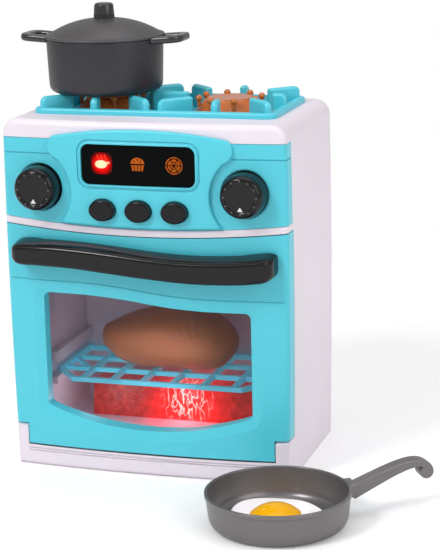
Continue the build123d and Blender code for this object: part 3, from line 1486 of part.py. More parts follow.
egg_floor = pan_wall + rest_gap
egg_thickness = 2.6
egg_edge = 1.6
yolk_sink = 0.6
yolk_floor = egg_floor + egg_thickness - yolk_sink
# the edge of the white: direction in degrees, share of the radius
egg_lobes = ((0, 1.0), (45, 0.93), (90, 1.0), (140, 0.95), (185, 1.0), (230, 0.92), (275, 1.0), (320, 0.94))
with BuildPart() as egg_white:
    with BuildSketch(level(pan_x, pan_y, egg_floor)):
        with BuildLine():
            Spline(*[(egg_radius * share * cos(radians(turn)), egg_radius * share * sin(radians(turn)))
                     for turn, share in egg_lobes], periodic=True)
        make_face()
    extrude(amount=egg_thickness)
    fillet(egg_white.faces().sort_by(Axis.Z)[-1].edges(), egg_edge)
    with BuildSketch(level(pan_x, pan_y, yolk_floor)):
        Circle(yolk_radius + seam / 2)
    extrude(amount=egg_thickness, mode=Mode.SUBTRACT)

with BuildPart() as egg_yolk:
    with BuildSketch(upright(pan_x, pan_y, yolk_floor)):
        with BuildLine():
            Line((0, 0), (yolk_radius, 0))
            half_rise = dome_z(yolk_radius / 2, yolk_radius, yolk_height)
            ThreePointArc((yolk_radius, 0), (yolk_radius / 2, half_rise), (0, yolk_height))
            Line((0, yolk_height), (0, 0))
        make_face()
    revolve(axis=pan_axis)

# label and write each piece
pieces = {
    "front_housing": front_housing,
    "back_cover": back_cover,
    "battery_lid": battery_lid,
    "batteries": batteries,
    "battery_contacts": battery_contacts,
    "speaker": speaker,
    "power_switch": power_switch,
    "switch_slider": switch_slider,
    "housing_screws": housing_screws,
    "battery_lid_screw": battery_lid_screw,
    "oven_liner": oven_liner,
    "control_panel": control_panel,
    "display_window": display_window,
    "circuit_board": circuit_board,
    "display_lamps": display_lamps,
    "button_switches": button_switches,
    "door_panel": door_panel,
    "door_window": door_window,
    "door_handle": door_handle,
    "handle_screws": handle_screws,
    "hinge_pins": hinge_pins,
    "hob_tray": hob_tray,
    "burner_lamps": burner_lamps,
    "fire_box": fire_box,
    "fire_lamps": fire_lamps,
    "oven_rack": oven_rack,
    "roast_chicken": roast_chicken,
    "pot_body": pot_body,
    "pot_lid": pot_lid,
    "lid_knob": lid_knob,
    "pan_bowl": pan_bowl,
    "pan_handle": pan_handle,
    "egg_white": egg_white,
    "egg_yolk": egg_yolk,
    **buttons,
    **knobs,
    **knob_screws,
    **burners,
}
for name, piece in pieces.items():
    piece.part.label = name
    export_step(piece.part, f"parts/{name}.step")
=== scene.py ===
import math

import bmesh
import bpy
import numpy as np
from mathutils import Matrix, Vector


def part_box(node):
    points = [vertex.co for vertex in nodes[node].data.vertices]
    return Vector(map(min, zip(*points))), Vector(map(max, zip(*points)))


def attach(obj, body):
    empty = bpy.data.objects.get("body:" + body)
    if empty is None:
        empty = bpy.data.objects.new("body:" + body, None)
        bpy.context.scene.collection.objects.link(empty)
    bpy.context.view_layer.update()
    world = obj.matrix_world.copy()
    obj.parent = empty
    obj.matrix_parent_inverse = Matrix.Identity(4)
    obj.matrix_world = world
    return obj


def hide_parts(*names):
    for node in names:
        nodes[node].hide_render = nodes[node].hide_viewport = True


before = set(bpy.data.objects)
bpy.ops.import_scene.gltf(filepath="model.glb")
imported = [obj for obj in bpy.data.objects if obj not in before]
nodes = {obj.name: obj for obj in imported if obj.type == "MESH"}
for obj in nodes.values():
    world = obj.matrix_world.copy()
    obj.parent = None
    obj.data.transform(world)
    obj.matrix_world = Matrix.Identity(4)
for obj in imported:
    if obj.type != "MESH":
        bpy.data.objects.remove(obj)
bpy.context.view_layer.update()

scene = bpy.context.scene
mm = 0.001
print("frame loaded:", len(nodes), "nodes")

cameraView = {
    "place": (0.3985, -1.1730, 0.4225),
    "yaw": 17.345, "pitch": 13.760, "roll": -1.292,  # degrees
    "lens": 124.87, "sensor": 36.0,
    "clip": (0.05, 20.0),
}


def makeCamera(view):
    # right, up and forward from yaw, then pitch, then a roll about the line of sight
    yaw, pitch, roll = (math.radians(view[k]) for k in ("yaw", "pitch", "roll"))
    forward = Vector((-math.sin(yaw) * math.cos(pitch), math.cos(yaw) * math.cos(pitch), -math.sin(pitch)))
    right = Vector((math.cos(yaw), math.sin(yaw), 0))
    up = Vector((-math.sin(yaw) * math.sin(pitch), math.cos(yaw) * math.sin(pitch), math.cos(pitch)))
    sideways = math.cos(roll) * right + math.sin(roll) * up
    upright = -math.sin(roll) * right + math.cos(roll) * up
    data = bpy.data.cameras.new("camera")
    data.sensor_fit = "VERTICAL"
    data.sensor_height = view["sensor"]
    data.lens = view["lens"]
    data.clip_start, data.clip_end = view["clip"]
    camera = bpy.data.objects.new("camera", data)
    scene.collection.objects.link(camera)
    camera.matrix_world = Matrix.Translation(view["place"]) @ Matrix(
        (sideways, upright, -forward)).transposed().to_4x4()
    scene.camera = camera


makeCamera(cameraView)

studio = {
    "floorSize": 14.0,
    "floorColour": (0.94, 0.94, 0.945),
    "floorLift": 0.13,  # how much brighter the camera sees the floor near the object
    "nearFloor": 0.75,  # metres from the middle at which the floor is plain white
    "whiteStart": 0.35,  # share of that distance at which it starts to turn white
    "aim": (0.0, 0.0, 0.13),
    "key": {"place": (-0.9, -1.6, 1.7), "size": 0.65, "power": 24.0},
    "fill": {"place": (1.8, -0.9, 1.1), "size": 1.6, "power": 13.0},
    "top": {"place": (0.1, 0.2, 2.2), "size": 1.8, "power": 13.0},
    "sky": 0.5,
}


def nodeTree(material):
    material.use_nodes = True
    tree = material.node_tree
    tree.nodes.clear()
    return tree


def seenDirectly(tree):
    # 1 for what the camera sees, also through glass, 0 for light that bounces
    path = tree.nodes.new("ShaderNodeLightPath")
    both = tree.nodes.new("ShaderNodeMath")
    both.operation = "MAXIMUM"
    tree.links.new(path.outputs["Is Camera Ray"], both.inputs[0])
    tree.links.new(path.outputs["Is Transmission Ray"], both.inputs[1])
    return both.outputs[0]


def makeStudio(values):
    world = bpy.data.worlds.new("studio")
    scene.world = world
    world.use_nodes = True
    tree = world.node_tree
    tree.nodes.clear()
    plain = tree.nodes.new("ShaderNodeBackground")
    plain.inputs["Color"].default_value = (1, 1, 1, 1)
    plain.inputs["Strength"].default_value = values["sky"]
    white = tree.nodes.new("ShaderNodeBackground")
    white.inputs["Strength"].default_value = 1.0
    white.inputs["Color"].default_value = (1, 1, 1, 1)
    mix = tree.nodes.new("ShaderNodeMixShader")
    tree.links.new(seenDirectly(tree), mix.inputs["Fac"])
    tree.links.new(plain.outputs[0], mix.inputs[1])
    tree.links.new(white.outputs[0], mix.inputs[2])
    out = tree.nodes.new("ShaderNodeOutputWorld")
    tree.links.new(mix.outputs[0], out.inputs["Surface"])

    half = values["floorSize"] / 2
    corners = [(-half, -half, 0), (half, -half, 0), (half, half, 0), (-half, half, 0)]
    mesh = bpy.data.meshes.new("floor")
    mesh.from_pydata(corners, [], [(0, 1, 2, 3)])
    floor = bpy.data.objects.new("floor", mesh)
    scene.collection.objects.link(floor)
    material = bpy.data.materials.new("floorPaper")
    tree = nodeTree(material)
    paper = tree.nodes.new("ShaderNodeBsdfDiffuse")
    paper.inputs["Color"].default_value = (*values["floorColour"], 1)
    # near the object the camera sees the paper with a little lift, further out plain white
    seen = seenDirectly(tree)
    lift = tree.nodes.new("ShaderNodeEmission")
    lift.inputs["Strength"].default_value = values["floorLift"]
    lifted = tree.nodes.new("ShaderNodeAddShader")
    tree.links.new(paper.outputs[0], lifted.inputs[0])
    tree.links.new(lift.outputs[0], lifted.inputs[1])
    away = tree.nodes.new("ShaderNodeVectorMath")
    away.operation = "LENGTH"
    tree.links.new(tree.nodes.new("ShaderNodeTexCoord").outputs["Object"], away.inputs[0])
    far = tree.nodes.new("ShaderNodeMapRange")
    far.interpolation_type = "SMOOTHSTEP"
    far.inputs["From Min"].default_value = values["nearFloor"] * values["whiteStart"]
    far.inputs["From Max"].default_value = values["nearFloor"]
    tree.links.new(away.outputs["Value"], far.inputs["Value"])
    white = tree.nodes.new("ShaderNodeEmission")
    near = tree.nodes.new("ShaderNodeMixShader")
    tree.links.new(far.outputs["Result"], near.inputs["Fac"])
    tree.links.new(lifted.outputs[0], near.inputs[1])
    tree.links.new(white.outputs[0], near.inputs[2])
    both = tree.nodes.new("ShaderNodeMixShader")
    tree.links.new(seen, both.inputs["Fac"])
    tree.links.new(paper.outputs[0], both.inputs[1])
    tree.links.new(near.outputs[0], both.inputs[2])
    out = tree.nodes.new("ShaderNodeOutputMaterial")
    tree.links.new(both.outputs[0], out.inputs["Surface"])
    mesh.materials.append(material)

    target = Vector(values["aim"])
    for name in ("key", "fill", "top"):
        lamp = values[name]
        data = bpy.data.lights.new(name, "AREA")
        data.shape = "SQUARE"
        data.size = lamp["size"]
        data.energy = lamp["power"]
        light = bpy.data.objects.new(name, data)
        scene.collection.objects.link(light)
        light.location = lamp["place"]
        light.rotation_euler = (target - light.location).to_track_quat("-Z", "Y").to_euler()


makeStudio(studio)

ovenLight = {
    "soft": {"kind": "AREA", "place": (0.0, -0.042, 0.07), "turn": (75, 0), "size": 0.05, "power": 0.0034,
             "colour": (1.0, 0.95, 0.98)},
    "low": {"kind": "POINT", "place": (-0.05, -0.03, 0.034), "turn": (0, 0), "size": 0.012, "power": 0.012,
            "colour": (1.0, 0.95, 0.97)},
    "red": {"kind": "AREA", "place": (0.006, -0.006, 0.034), "turn": (40, 0), "size": 0.014, "power": 0.026,
            "colour": (1.0, 0.06, 0.07)},
}


def makeOvenLight(values):
    # two white lamps low behind the door's window, and the red one of the fire box
    for name, lamp in values.items():
        data = bpy.data.lights.new(name, lamp["kind"])
        setattr(data, "size" if lamp["kind"] == "AREA" else "shadow_soft_size", lamp["size"])
        data.energy = lamp["power"]
        data.color = lamp["colour"]
        light = bpy.data.objects.new(name, data)
        scene.collection.objects.link(light)
        light.location = lamp["place"]
        light.rotation_euler = [math.radians(angle) for angle in (*lamp["turn"], 0)]
        light.visible_camera = False


makeOvenLight(ovenLight)
scene.view_settings.view_transform = "Standard"
print("camera, floor and light")


def linear(rgb):
    # sRGB 0 to 255 to scene-linear
    c = np.array(rgb, float) / 255
    return tuple(np.where(c <= 0.04045, c / 12.92, ((c + 0.055) / 1.055) ** 2.4))


def noiseTexture(tree, scale, detail, roughness, coords):
    noise = tree.nodes.new("ShaderNodeTexNoise")
    noise.inputs["Scale"].default_value = scale
    noise.inputs["Detail"].default_value = detail
    noise.inputs["Roughness"].default_value = roughness
    tree.links.new(coords, noise.inputs["Vector"])
    return noise.outputs["Fac"]


def spread(tree, value, low, high, lowIn=0.3, highIn=0.7):
    # straight line from lowIn..highIn to low..high, held at its ends
    ramp = tree.nodes.new("ShaderNodeMapRange")
    ramp.inputs["From Min"].default_value = lowIn
    ramp.inputs["From Max"].default_value = highIn
    ramp.inputs["To Min"].default_value = low
    ramp.inputs["To Max"].default_value = high
    tree.links.new(value, ramp.inputs["Value"])
    return ramp.outputs["Result"]


def blendColour(tree, amount, first, second):
    mix = tree.nodes.new("ShaderNodeMix")
    mix.data_type = "RGBA"
    tree.links.new(amount, mix.inputs["Factor"])
    for socket, colour in ((mix.inputs["A"], first), (mix.inputs["B"], second)):
        if isinstance(colour, tuple):
            socket.default_value = (*colour, 1)
        else:
            tree.links.new(colour, socket)
    return mix.outputs["Result"]


moulded = {
    "driftScale": 22.0, "grainScale": 420.0, "glossDrift": 0.06, "bump": 0.01, "bumpDepth": 0.00012,
    "ior": 1.5, "shine": 0.5, "metal": 0.0, "clear": 0.0,
    "milk": 0.0, "milkReach": (0.004, 0.0035, 0.003),  # metres that red, green and blue light go inside
}


def plastic(name, values):
    # moulded plastic: a slow drift of colour, fine orange peel in the bump, uneven gloss
    values = {**moulded, **values}
    material = bpy.data.materials.new(name)
    tree = nodeTree(material)
    coords = tree.nodes.new("ShaderNodeTexCoord").outputs["Object"]
    shader = tree.nodes.new("ShaderNodeBsdfPrincipled")
    colour = linear(values["colour"])
    darker = tuple(c * (1 - values["drift"]) for c in colour)
    cloud = noiseTexture(tree, values["driftScale"], 3.0, 0.5, coords)
    tint = blendColour(tree, spread(tree, cloud, 0, 1), darker, colour)
    if "fleck" in values:
        # metal flakes in the melt: one random shade for each small cell
        cells = tree.nodes.new("ShaderNodeTexVoronoi")
        cells.inputs["Scale"].default_value = values["fleckScale"]
        tree.links.new(coords, cells.inputs["Vector"])
        split = tree.nodes.new("ShaderNodeSeparateColor")
        tree.links.new(cells.outputs["Color"], split.inputs["Color"])
        shine = spread(tree, split.outputs["Red"], 0, values["fleck"], 0.55, 1.0)
        tint = blendColour(tree, shine, tint, linear(values["fleckColour"]))
    tree.links.new(tint, shader.inputs["Base Color"])
    grain = noiseTexture(tree, values["grainScale"], 2.0, 0.6, coords)
    gloss, uneven = values["roughness"], values["glossDrift"]
    dull = spread(tree, grain, gloss * (1 - uneven), gloss * (1 + uneven))
    tree.links.new(dull, shader.inputs["Roughness"])
    bump = tree.nodes.new("ShaderNodeBump")
    bump.inputs["Strength"].default_value = values["bump"]
    bump.inputs["Distance"].default_value = values["bumpDepth"]
    tree.links.new(grain, bump.inputs["Height"])
    if "edge" in values:
        # moulded edges catch the light as if they were a little round
        edge = tree.nodes.new("ShaderNodeBevel")
        edge.samples = 4
        edge.inputs["Radius"].default_value = values["edge"]
        tree.links.new(edge.outputs["Normal"], bump.inputs["Normal"])
    tree.links.new(bump.outputs["Normal"], shader.inputs["Normal"])
    shader.inputs["IOR"].default_value = values["ior"]
    shader.inputs["Specular IOR Level"].default_value = values["shine"]
    shader.inputs["Metallic"].default_value = values["metal"]
    shader.inputs["Subsurface Weight"].default_value = values["milk"]
    shader.inputs["Subsurface Radius"].default_value = values["milkReach"]
    shader.inputs["Subsurface Scale"].default_value = 1.0
    shader.inputs["Transmission Weight"].default_value = values["clear"]
    # glow is emission in the finish's own colour: the lamps' own light on the lamp finish, painted light on
    # the rack and the egg white
    if "glow" in values:
        shader.inputs["Emission Color"].default_value = (*linear(values["colour"]), 1)
        shader.inputs["Emission Strength"].default_value = values["glow"]
    out = tree.nodes.new("ShaderNodeOutputMaterial")
    tree.links.new(shader.outputs[0], out.inputs["Surface"])
    return material


finishes = {
    "turquoise": {"colour": (82, 205, 223), "roughness": 0.3, "drift": 0.04, "edge": 0.0006},
    "white": {"colour": (234, 224, 234), "roughness": 0.4, "drift": 0.03, "milk": 0.1, "edge": 0.0006},
    "whiteBack": {"colour": (234, 225, 235), "roughness": 0.5, "drift": 0.03, "edge": 0.0006},
    "dark": {"colour": (19, 16, 18), "roughness": 0.13, "drift": 0.1, "shine": 0.32},
    "button": {"colour": (22, 19, 22), "roughness": 0.18, "drift": 0.12, "shine": 0.24},
    # the knob dots are the knob's black plastic painted grey: a painted highlight on their domes
    "knobDotHighlight": {"colour": (92, 88, 90), "roughness": 0.4, "drift": 0.1},
    "black": {"colour": (24, 24, 26), "roughness": 0.5, "drift": 0.2, "shine": 0.3},
    "displayPane": {"colour": (4, 5, 6), "roughness": 0.1, "drift": 0.2, "shine": 0.05},
    "pot": {"colour": (57, 55, 59), "roughness": 0.36, "drift": 0.08, "metal": 0.45, "bump": 0.02,
            "fleck": 0.03, "fleckScale": 2600.0, "fleckColour": (104, 104, 108)},
    # the lid is the pot's own grey painted lighter: a painted sheen for the dome that faces the lamps
    "lid": {"colour": (84, 81, 84), "roughness": 0.42, "drift": 0.08, "metal": 0.4, "bump": 0.02},
    "potShiny": {"colour": (48, 46, 50), "roughness": 0.15, "drift": 0.08, "shine": 0.6, "bump": 0.02},
    "pan": {"colour": (122, 118, 118), "roughness": 0.3, "drift": 0.06, "metal": 0.55, "bump": 0.02,
            "fleck": 0.03, "fleckScale": 2400.0, "fleckColour": (168, 164, 164)},
    "liner": {"colour": (232, 219, 229), "roughness": 0.5, "drift": 0.05, "milk": 0.2, "edge": 0.0006},
    # the rack's glow is painted light: emission in its own colour that lifts it out of the oven's shade
    "rack": {"colour": (96, 208, 232), "roughness": 0.25, "drift": 0.06, "glow": 0.2, "edge": 0.0008},
    "roast": {"colour": (196, 118, 76), "roughness": 0.42, "drift": 0.22, "driftScale": 45.0, "shine": 0.3,
              "grainScale": 110.0, "bump": 0.012, "bumpDepth": 0.0006},
    # the egg white's glow is painted light: emission that lifts it out of the shade where it lies in the pan
    "eggWhite": {"colour": (250, 245, 249), "roughness": 0.2, "drift": 0.02, "milk": 0.15, "glow": 0.18},
    "eggYolk": {"colour": (254, 184, 0), "roughness": 0.14, "drift": 0.06, "shine": 0.2},
    "board": {"colour": (35, 90, 55), "roughness": 0.5, "drift": 0.2},
    "battery": {"colour": (70, 72, 78), "roughness": 0.35, "drift": 0.1, "metal": 0.5},
    "steel": {"colour": (170, 172, 176), "roughness": 0.3, "drift": 0.08, "metal": 1.0},
    "cone": {"colour": (42, 42, 44), "roughness": 0.8, "drift": 0.3},
    "lamp": {"colour": (255, 70, 50), "roughness": 0.2, "drift": 0.1, "glow": 2.0},
    "burner": {"colour": (212, 116, 58), "roughness": 0.18, "drift": 0.15, "clear": 0.12, "edge": 0.0004},
    "bead": {"colour": (222, 118, 14), "roughness": 0.06, "drift": 0.2, "clear": 0.2, "shine": 0.9},
    "paint": {"colour": (228, 226, 226), "roughness": 0.35, "drift": 0.05},
}
made = {name: plastic(name, values) for name, values in finishes.items()}


windowPane = {
    "tint": (0.93, 0.93, 0.95), "smear": 0.97, "smearScale": 30.0,  # smears let this share through
    "roughness": 0.04, "ior": 1.23,
}


def clearPane(name, v):
    # a thin clear sheet: mostly straight through, with a weak mirror on top that grows at the edges
    material = bpy.data.materials.new(name)
    tree = nodeTree(material)
    coords = tree.nodes.new("ShaderNodeTexCoord").outputs["Object"]
    through = tree.nodes.new("ShaderNodeBsdfTransparent")
    smear = noiseTexture(tree, v["smearScale"], 4.0, 0.6, coords)
    smeared = tuple(c * v["smear"] for c in v["tint"])
    tree.links.new(blendColour(tree, spread(tree, smear, 0, 1), smeared, v["tint"]), through.inputs["Color"])
    gloss = tree.nodes.new("ShaderNodeBsdfGlossy")
    gloss.inputs["Roughness"].default_value = v["roughness"]
    rim = tree.nodes.new("ShaderNodeFresnel")
    rim.inputs["IOR"].default_value = v["ior"]
    mix = tree.nodes.new("ShaderNodeMixShader")
    tree.links.new(rim.outputs[0], mix.inputs["Fac"])
    tree.links.new(through.outputs[0], mix.inputs[1])
    tree.links.new(gloss.outputs[0], mix.inputs[2])
    out = tree.nodes.new("ShaderNodeOutputMaterial")
    tree.links.new(mix.outputs[0], out.inputs["Surface"])
    return material


made["pane"] = clearPane("pane", windowPane)


def fireGlass(name, v):
    # red hammered plastic lit by a lamp behind it, that light painted on as emission: brightness falls off
    # from the lamp along the box, and near the lamp white sparks, painted highlights of the lamp, lie along
    # the lines where a noise passes its middle value
    material = bpy.data.materials.new(name)
    tree = nodeTree(material)
    coords = tree.nodes.new("ShaderNodeTexCoord").outputs["Object"]
    centred = tree.nodes.new("ShaderNodeMapping")
    centred.vector_type = "POINT"
    centred.inputs["Location"].default_value = tuple(-p / r for p, r in zip(v["lamp"], v["reach"]))
    centred.inputs["Scale"].default_value = tuple(1 / r for r in v["reach"])
    tree.links.new(coords, centred.inputs["Vector"])
    ball = tree.nodes.new("ShaderNodeTexGradient")
    ball.gradient_type = "SPHERICAL"
    tree.links.new(centred.outputs[0], ball.inputs["Vector"])
    near = ball.outputs["Fac"]
    dents = noiseTexture(tree, v["dentScale"], 2.0, 0.55, coords)
    # the sparks run upwards, so their coordinates are squeezed in height
    tall = tree.nodes.new("ShaderNodeMapping")
    tall.vector_type = "POINT"
    tall.inputs["Scale"].default_value = v["sparkShape"]
    tree.links.new(coords, tall.inputs["Vector"])
    veins = noiseTexture(tree, v["dentScale"], 1.0, 0.4, tall.outputs[0])
    below, level, above = v["sparkLine"]
    ridges = spread(tree, veins, 1, 0, below, level)
    other = spread(tree, veins, 0, 1, level, above)
    low = tree.nodes.new("ShaderNodeMath")
    low.operation = "MAXIMUM"
    tree.links.new(ridges, low.inputs[0])
    tree.links.new(other, low.inputs[1])
    line = tree.nodes.new("ShaderNodeMath")
    line.operation = "SUBTRACT"
    line.use_clamp = True
    line.inputs[0].default_value = 1.0
    tree.links.new(low.outputs[0], line.inputs[1])
    spark = tree.nodes.new("ShaderNodeMath")
    spark.operation = "MULTIPLY"
    tree.links.new(line.outputs[0], spark.inputs[0])
    tree.links.new(spread(tree, near, 0, 1, *v["sparkZone"]), spark.inputs[1])
    glow = blendColour(tree, spread(tree, near, 0, 1, *v["glowZone"]), linear(v["dim"]), linear(v["bright"]))
    glow = blendColour(tree, spark.outputs[0], glow, v["spark"])
    shader = tree.nodes.new("ShaderNodeBsdfPrincipled")
    cloud = spread(tree, dents, 0, 1, 0.35, 0.65)
    body = blendColour(tree, cloud, linear(v["deep"]), linear(v["colour"]))
    tree.links.new(body, shader.inputs["Base Color"])
    tree.links.new(glow, shader.inputs["Emission Color"])
    shader.inputs["Emission Strength"].default_value = 1.0
    shader.inputs["Roughness"].default_value = v["roughness"]
    bump = tree.nodes.new("ShaderNodeBump")
    bump.inputs["Strength"].default_value = v["bump"]
    bump.inputs["Distance"].default_value = v["bumpDepth"]
    tree.links.new(dents, bump.inputs["Height"])
    tree.links.new(bump.outputs["Normal"], shader.inputs["Normal"])
    out = tree.nodes.new("ShaderNodeOutputMaterial")
    tree.links.new(shader.outputs[0], out.inputs["Surface"])
    return material


fire = {
    "colour": (205, 52, 42), "deep": (150, 26, 22),
    # painted light of the lamp: the dim and bright glow, and the white sparks as painted highlights
    "dim": (112, 18, 12), "bright": (255, 26, 24), "spark": (1.7, 1.15, 1.05),
    "lamp": (0.006, 0.001, 0.033), "reach": (0.036, 0.06, 0.034), "dentScale": 260.0,
    "sparkShape": (1.3, 1.0, 0.5), "sparkLine": (0.445, 0.5, 0.555),
    "sparkZone": (0.42, 0.8), "glowZone": (0.0, 0.9),  # nearness to the lamp where each starts and is full
    "roughness": 0.2, "bump": 0.7, "bumpDepth": 0.0012,
}
made["fire"] = fireGlass("fire", fire)
print("finishes:", len(made))


def shape(name, grids, finish, body, node, capped=False, smooth=35):
    # each grid of points in mm becomes quads between neighbours, its columns closed into a ring;
    # a row that has shrunk to one point is a pole, and capped closes the first and last rows
    points, faces, start = [], [], 0
    for grid in grids:
        rows, columns = grid.shape[:2]
        i, j = np.meshgrid(np.arange(rows - 1), np.arange(columns), indexing="ij")
        along = (j + 1) % columns
        row, after = i * columns, (i + 1) * columns
        quads = np.stack([row + j, row + along, after + along, after + j], -1)
        faces += (quads.reshape(-1, 4) + start).tolist()
        if capped:
            faces += [list(range(start, start + columns))[::-1],
                      list(range(start + (rows - 1) * columns, start + rows * columns))]
        points.append(grid.reshape(-1, 3) * mm)
        start += rows * columns
    mesh = bpy.data.meshes.new(name)
    mesh.from_pydata(np.concatenate(points).tolist(), [], faces)
    return finished(name, mesh, finish, body, node, smooth)


def finished(name, mesh, finish, body, node, smooth=35):
    # merges doubles, turns faces outward, smooths under an angle, and hangs the piece on its body
    work = bmesh.new()
    work.from_mesh(mesh)
    bmesh.ops.remove_doubles(work, verts=work.verts, dist=1e-6)
    bmesh.ops.dissolve_degenerate(work, edges=work.edges, dist=1e-7)
    bmesh.ops.recalc_face_normals(work, faces=work.faces)
    work.to_mesh(mesh)
    work.free()
    mesh.shade_smooth()
    mesh.set_sharp_from_angle(angle=math.radians(smooth))
    mesh.materials.clear()
    mesh.materials.append(made[finish])
    piece = bpy.data.objects.new(name, mesh)
    scene.collection.objects.link(piece)
    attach(piece, body)
    if node:
        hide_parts(node)
    return piece


def eased(points, radii, steps=6):
    # a polyline with each inner corner replaced by a quadratic curve that starts radius before it
    points = np.asarray(points, float)
    radii = np.broadcast_to(radii, len(points) - 2)
    t = np.linspace(0, 1, steps + 1)[:, None]
    out = [points[:1]]
    for before, corner, after, radius in zip(points[:-2], points[1:-1], points[2:], radii):
        start, stop = before - corner, after - corner
        start = corner + start * min(radius / np.linalg.norm(start), 0.499)
        stop = corner + stop * min(radius / np.linalg.norm(stop), 0.499)
        out.append((1 - t) ** 2 * start + 2 * t * (1 - t) * corner + t**2 * stop)
    out.append(points[-1:])
    return np.concatenate(out)


def resampled(path, count):
    # the same line with its points at equal steps along it
    steps = np.r_[0, np.cumsum(np.linalg.norm(np.diff(path, axis=0), axis=1))]
    at = np.linspace(0, steps[-1], count)
    return np.stack([np.interp(at, steps, path[:, k]) for k in range(path.shape[1])], -1)


def turned(profile, centre, around):
    # a profile of (radius, height) carried round a vertical axis
    angle = np.linspace(0, 2 * np.pi, around, endpoint=False)
    radius, height = profile[:, :1], profile[:, 1:]
    return np.stack([centre[0] + radius * np.cos(angle), centre[1] + radius * np.sin(angle),
                     centre[2] + height + 0 * angle], -1)


def roundBar(wide, tall, corner):
    # a rectangle with round corners, anticlockwise, about its middle
    angle = np.linspace(0, np.pi / 2, 6)
    turns = angle[None] + np.arange(4)[:, None] * np.pi / 2
    x, y = wide / 2 - corner, tall / 2 - corner
    middles = np.array([(x, y), (-x, y), (-x, -y), (x, -y)])
    arcs = middles[:, None] + corner * np.stack([np.cos(turns), np.sin(turns)], -1)
    return arcs.reshape(-1, 2)


def carried(path, section, across):
    # a section (one for the whole path, or one for each of its points) carried along it;
    # its first axis lies along across, its second at right angles to that and the path
    ahead = np.gradient(path, axis=0)
    ahead /= np.linalg.norm(ahead, axis=1, keepdims=True)
    across = np.broadcast_to(np.asarray(across, float), path.shape)
    side = across - ahead * (across * ahead).sum(1, keepdims=True)
    side /= np.linalg.norm(side, axis=1, keepdims=True)
    upright = np.cross(ahead, side)
    section = np.broadcast_to(section, (len(path), *section.shape[-2:]))
    return path[:, None] + section[..., :1] * side[:, None] + section[..., 1:] * upright[:, None]


nodeFinish = {
    "white": ["front_housing"],
    "whiteBack": ["back_cover", "battery_lid"],
    "turquoise": ["control_panel", "hob_tray", "door_panel"],
    "dark": ["door_handle", "knob_left", "knob_right", "lid_knob"],
    "button": ["button_left", "button_middle", "button_right"],
    "black": ["power_switch", "switch_slider", "button_switches"],
    "displayPane": ["display_window"],
    "pane": ["door_window"],
    "pot": ["pot_body", "pot_lid"],
    "pan": ["pan_bowl", "pan_handle"],
    "liner": ["oven_liner"],
    "rack": ["oven_rack"],
    "roast": ["roast_chicken"],
    "eggWhite": ["egg_white"],
    "eggYolk": ["egg_yolk"],
    "board": ["circuit_board"],
    "battery": ["batteries"],
    "steel": ["battery_contacts", "housing_screws", "battery_lid_screw", "handle_screws", "hinge_pins",
              "knob_screw_left", "knob_screw_right"],
    "cone": ["speaker"],
    "lamp": ["display_lamps", "burner_lamps", "fire_lamps"],
    "burner": ["burner_left", "burner_right"],
    "fire": ["fire_box"],
}
for finish, members in nodeFinish.items():
    for member in members:
        mesh = nodes[member].data
        mesh.materials.clear()
        mesh.materials.append(made[finish])
print("nodes dressed")


pot = {
    "centre": (-44.5, 3.5, 243.1),
    "baseRadius": 37.3, "rimRadius": 38.6, "height": 35.2, "wall": 1.8, "baseCurve": 5.4, "lip": 0.7,
    "earRoot": 36.5, "earReach": 56.4, "earHalf": 14.0, "earBar": (6.6, 4.6), "earRound": 1.6,
    "earBend": 5.5, "earDrop": 1.0, "earTilt": 4.0,
    "lidRadius": 39.4, "lidGap": 0.1, "lidEdge": 1.8, "lidRise": 12.2, "lidFoot": 37.6, "lidCurve": 2.3,
    "flange": 2.0, "ringGap": 0.3, "ringWall": 1.6, "ringDepth": 2.5,
    "knobRadius": 6.9, "knobHeight": 10.8, "knobSink": 0.9, "knobRibs": 30,
    "ribTop": 3.4, "ribDepth": 0.08,  # the depth is a share of the radius
}


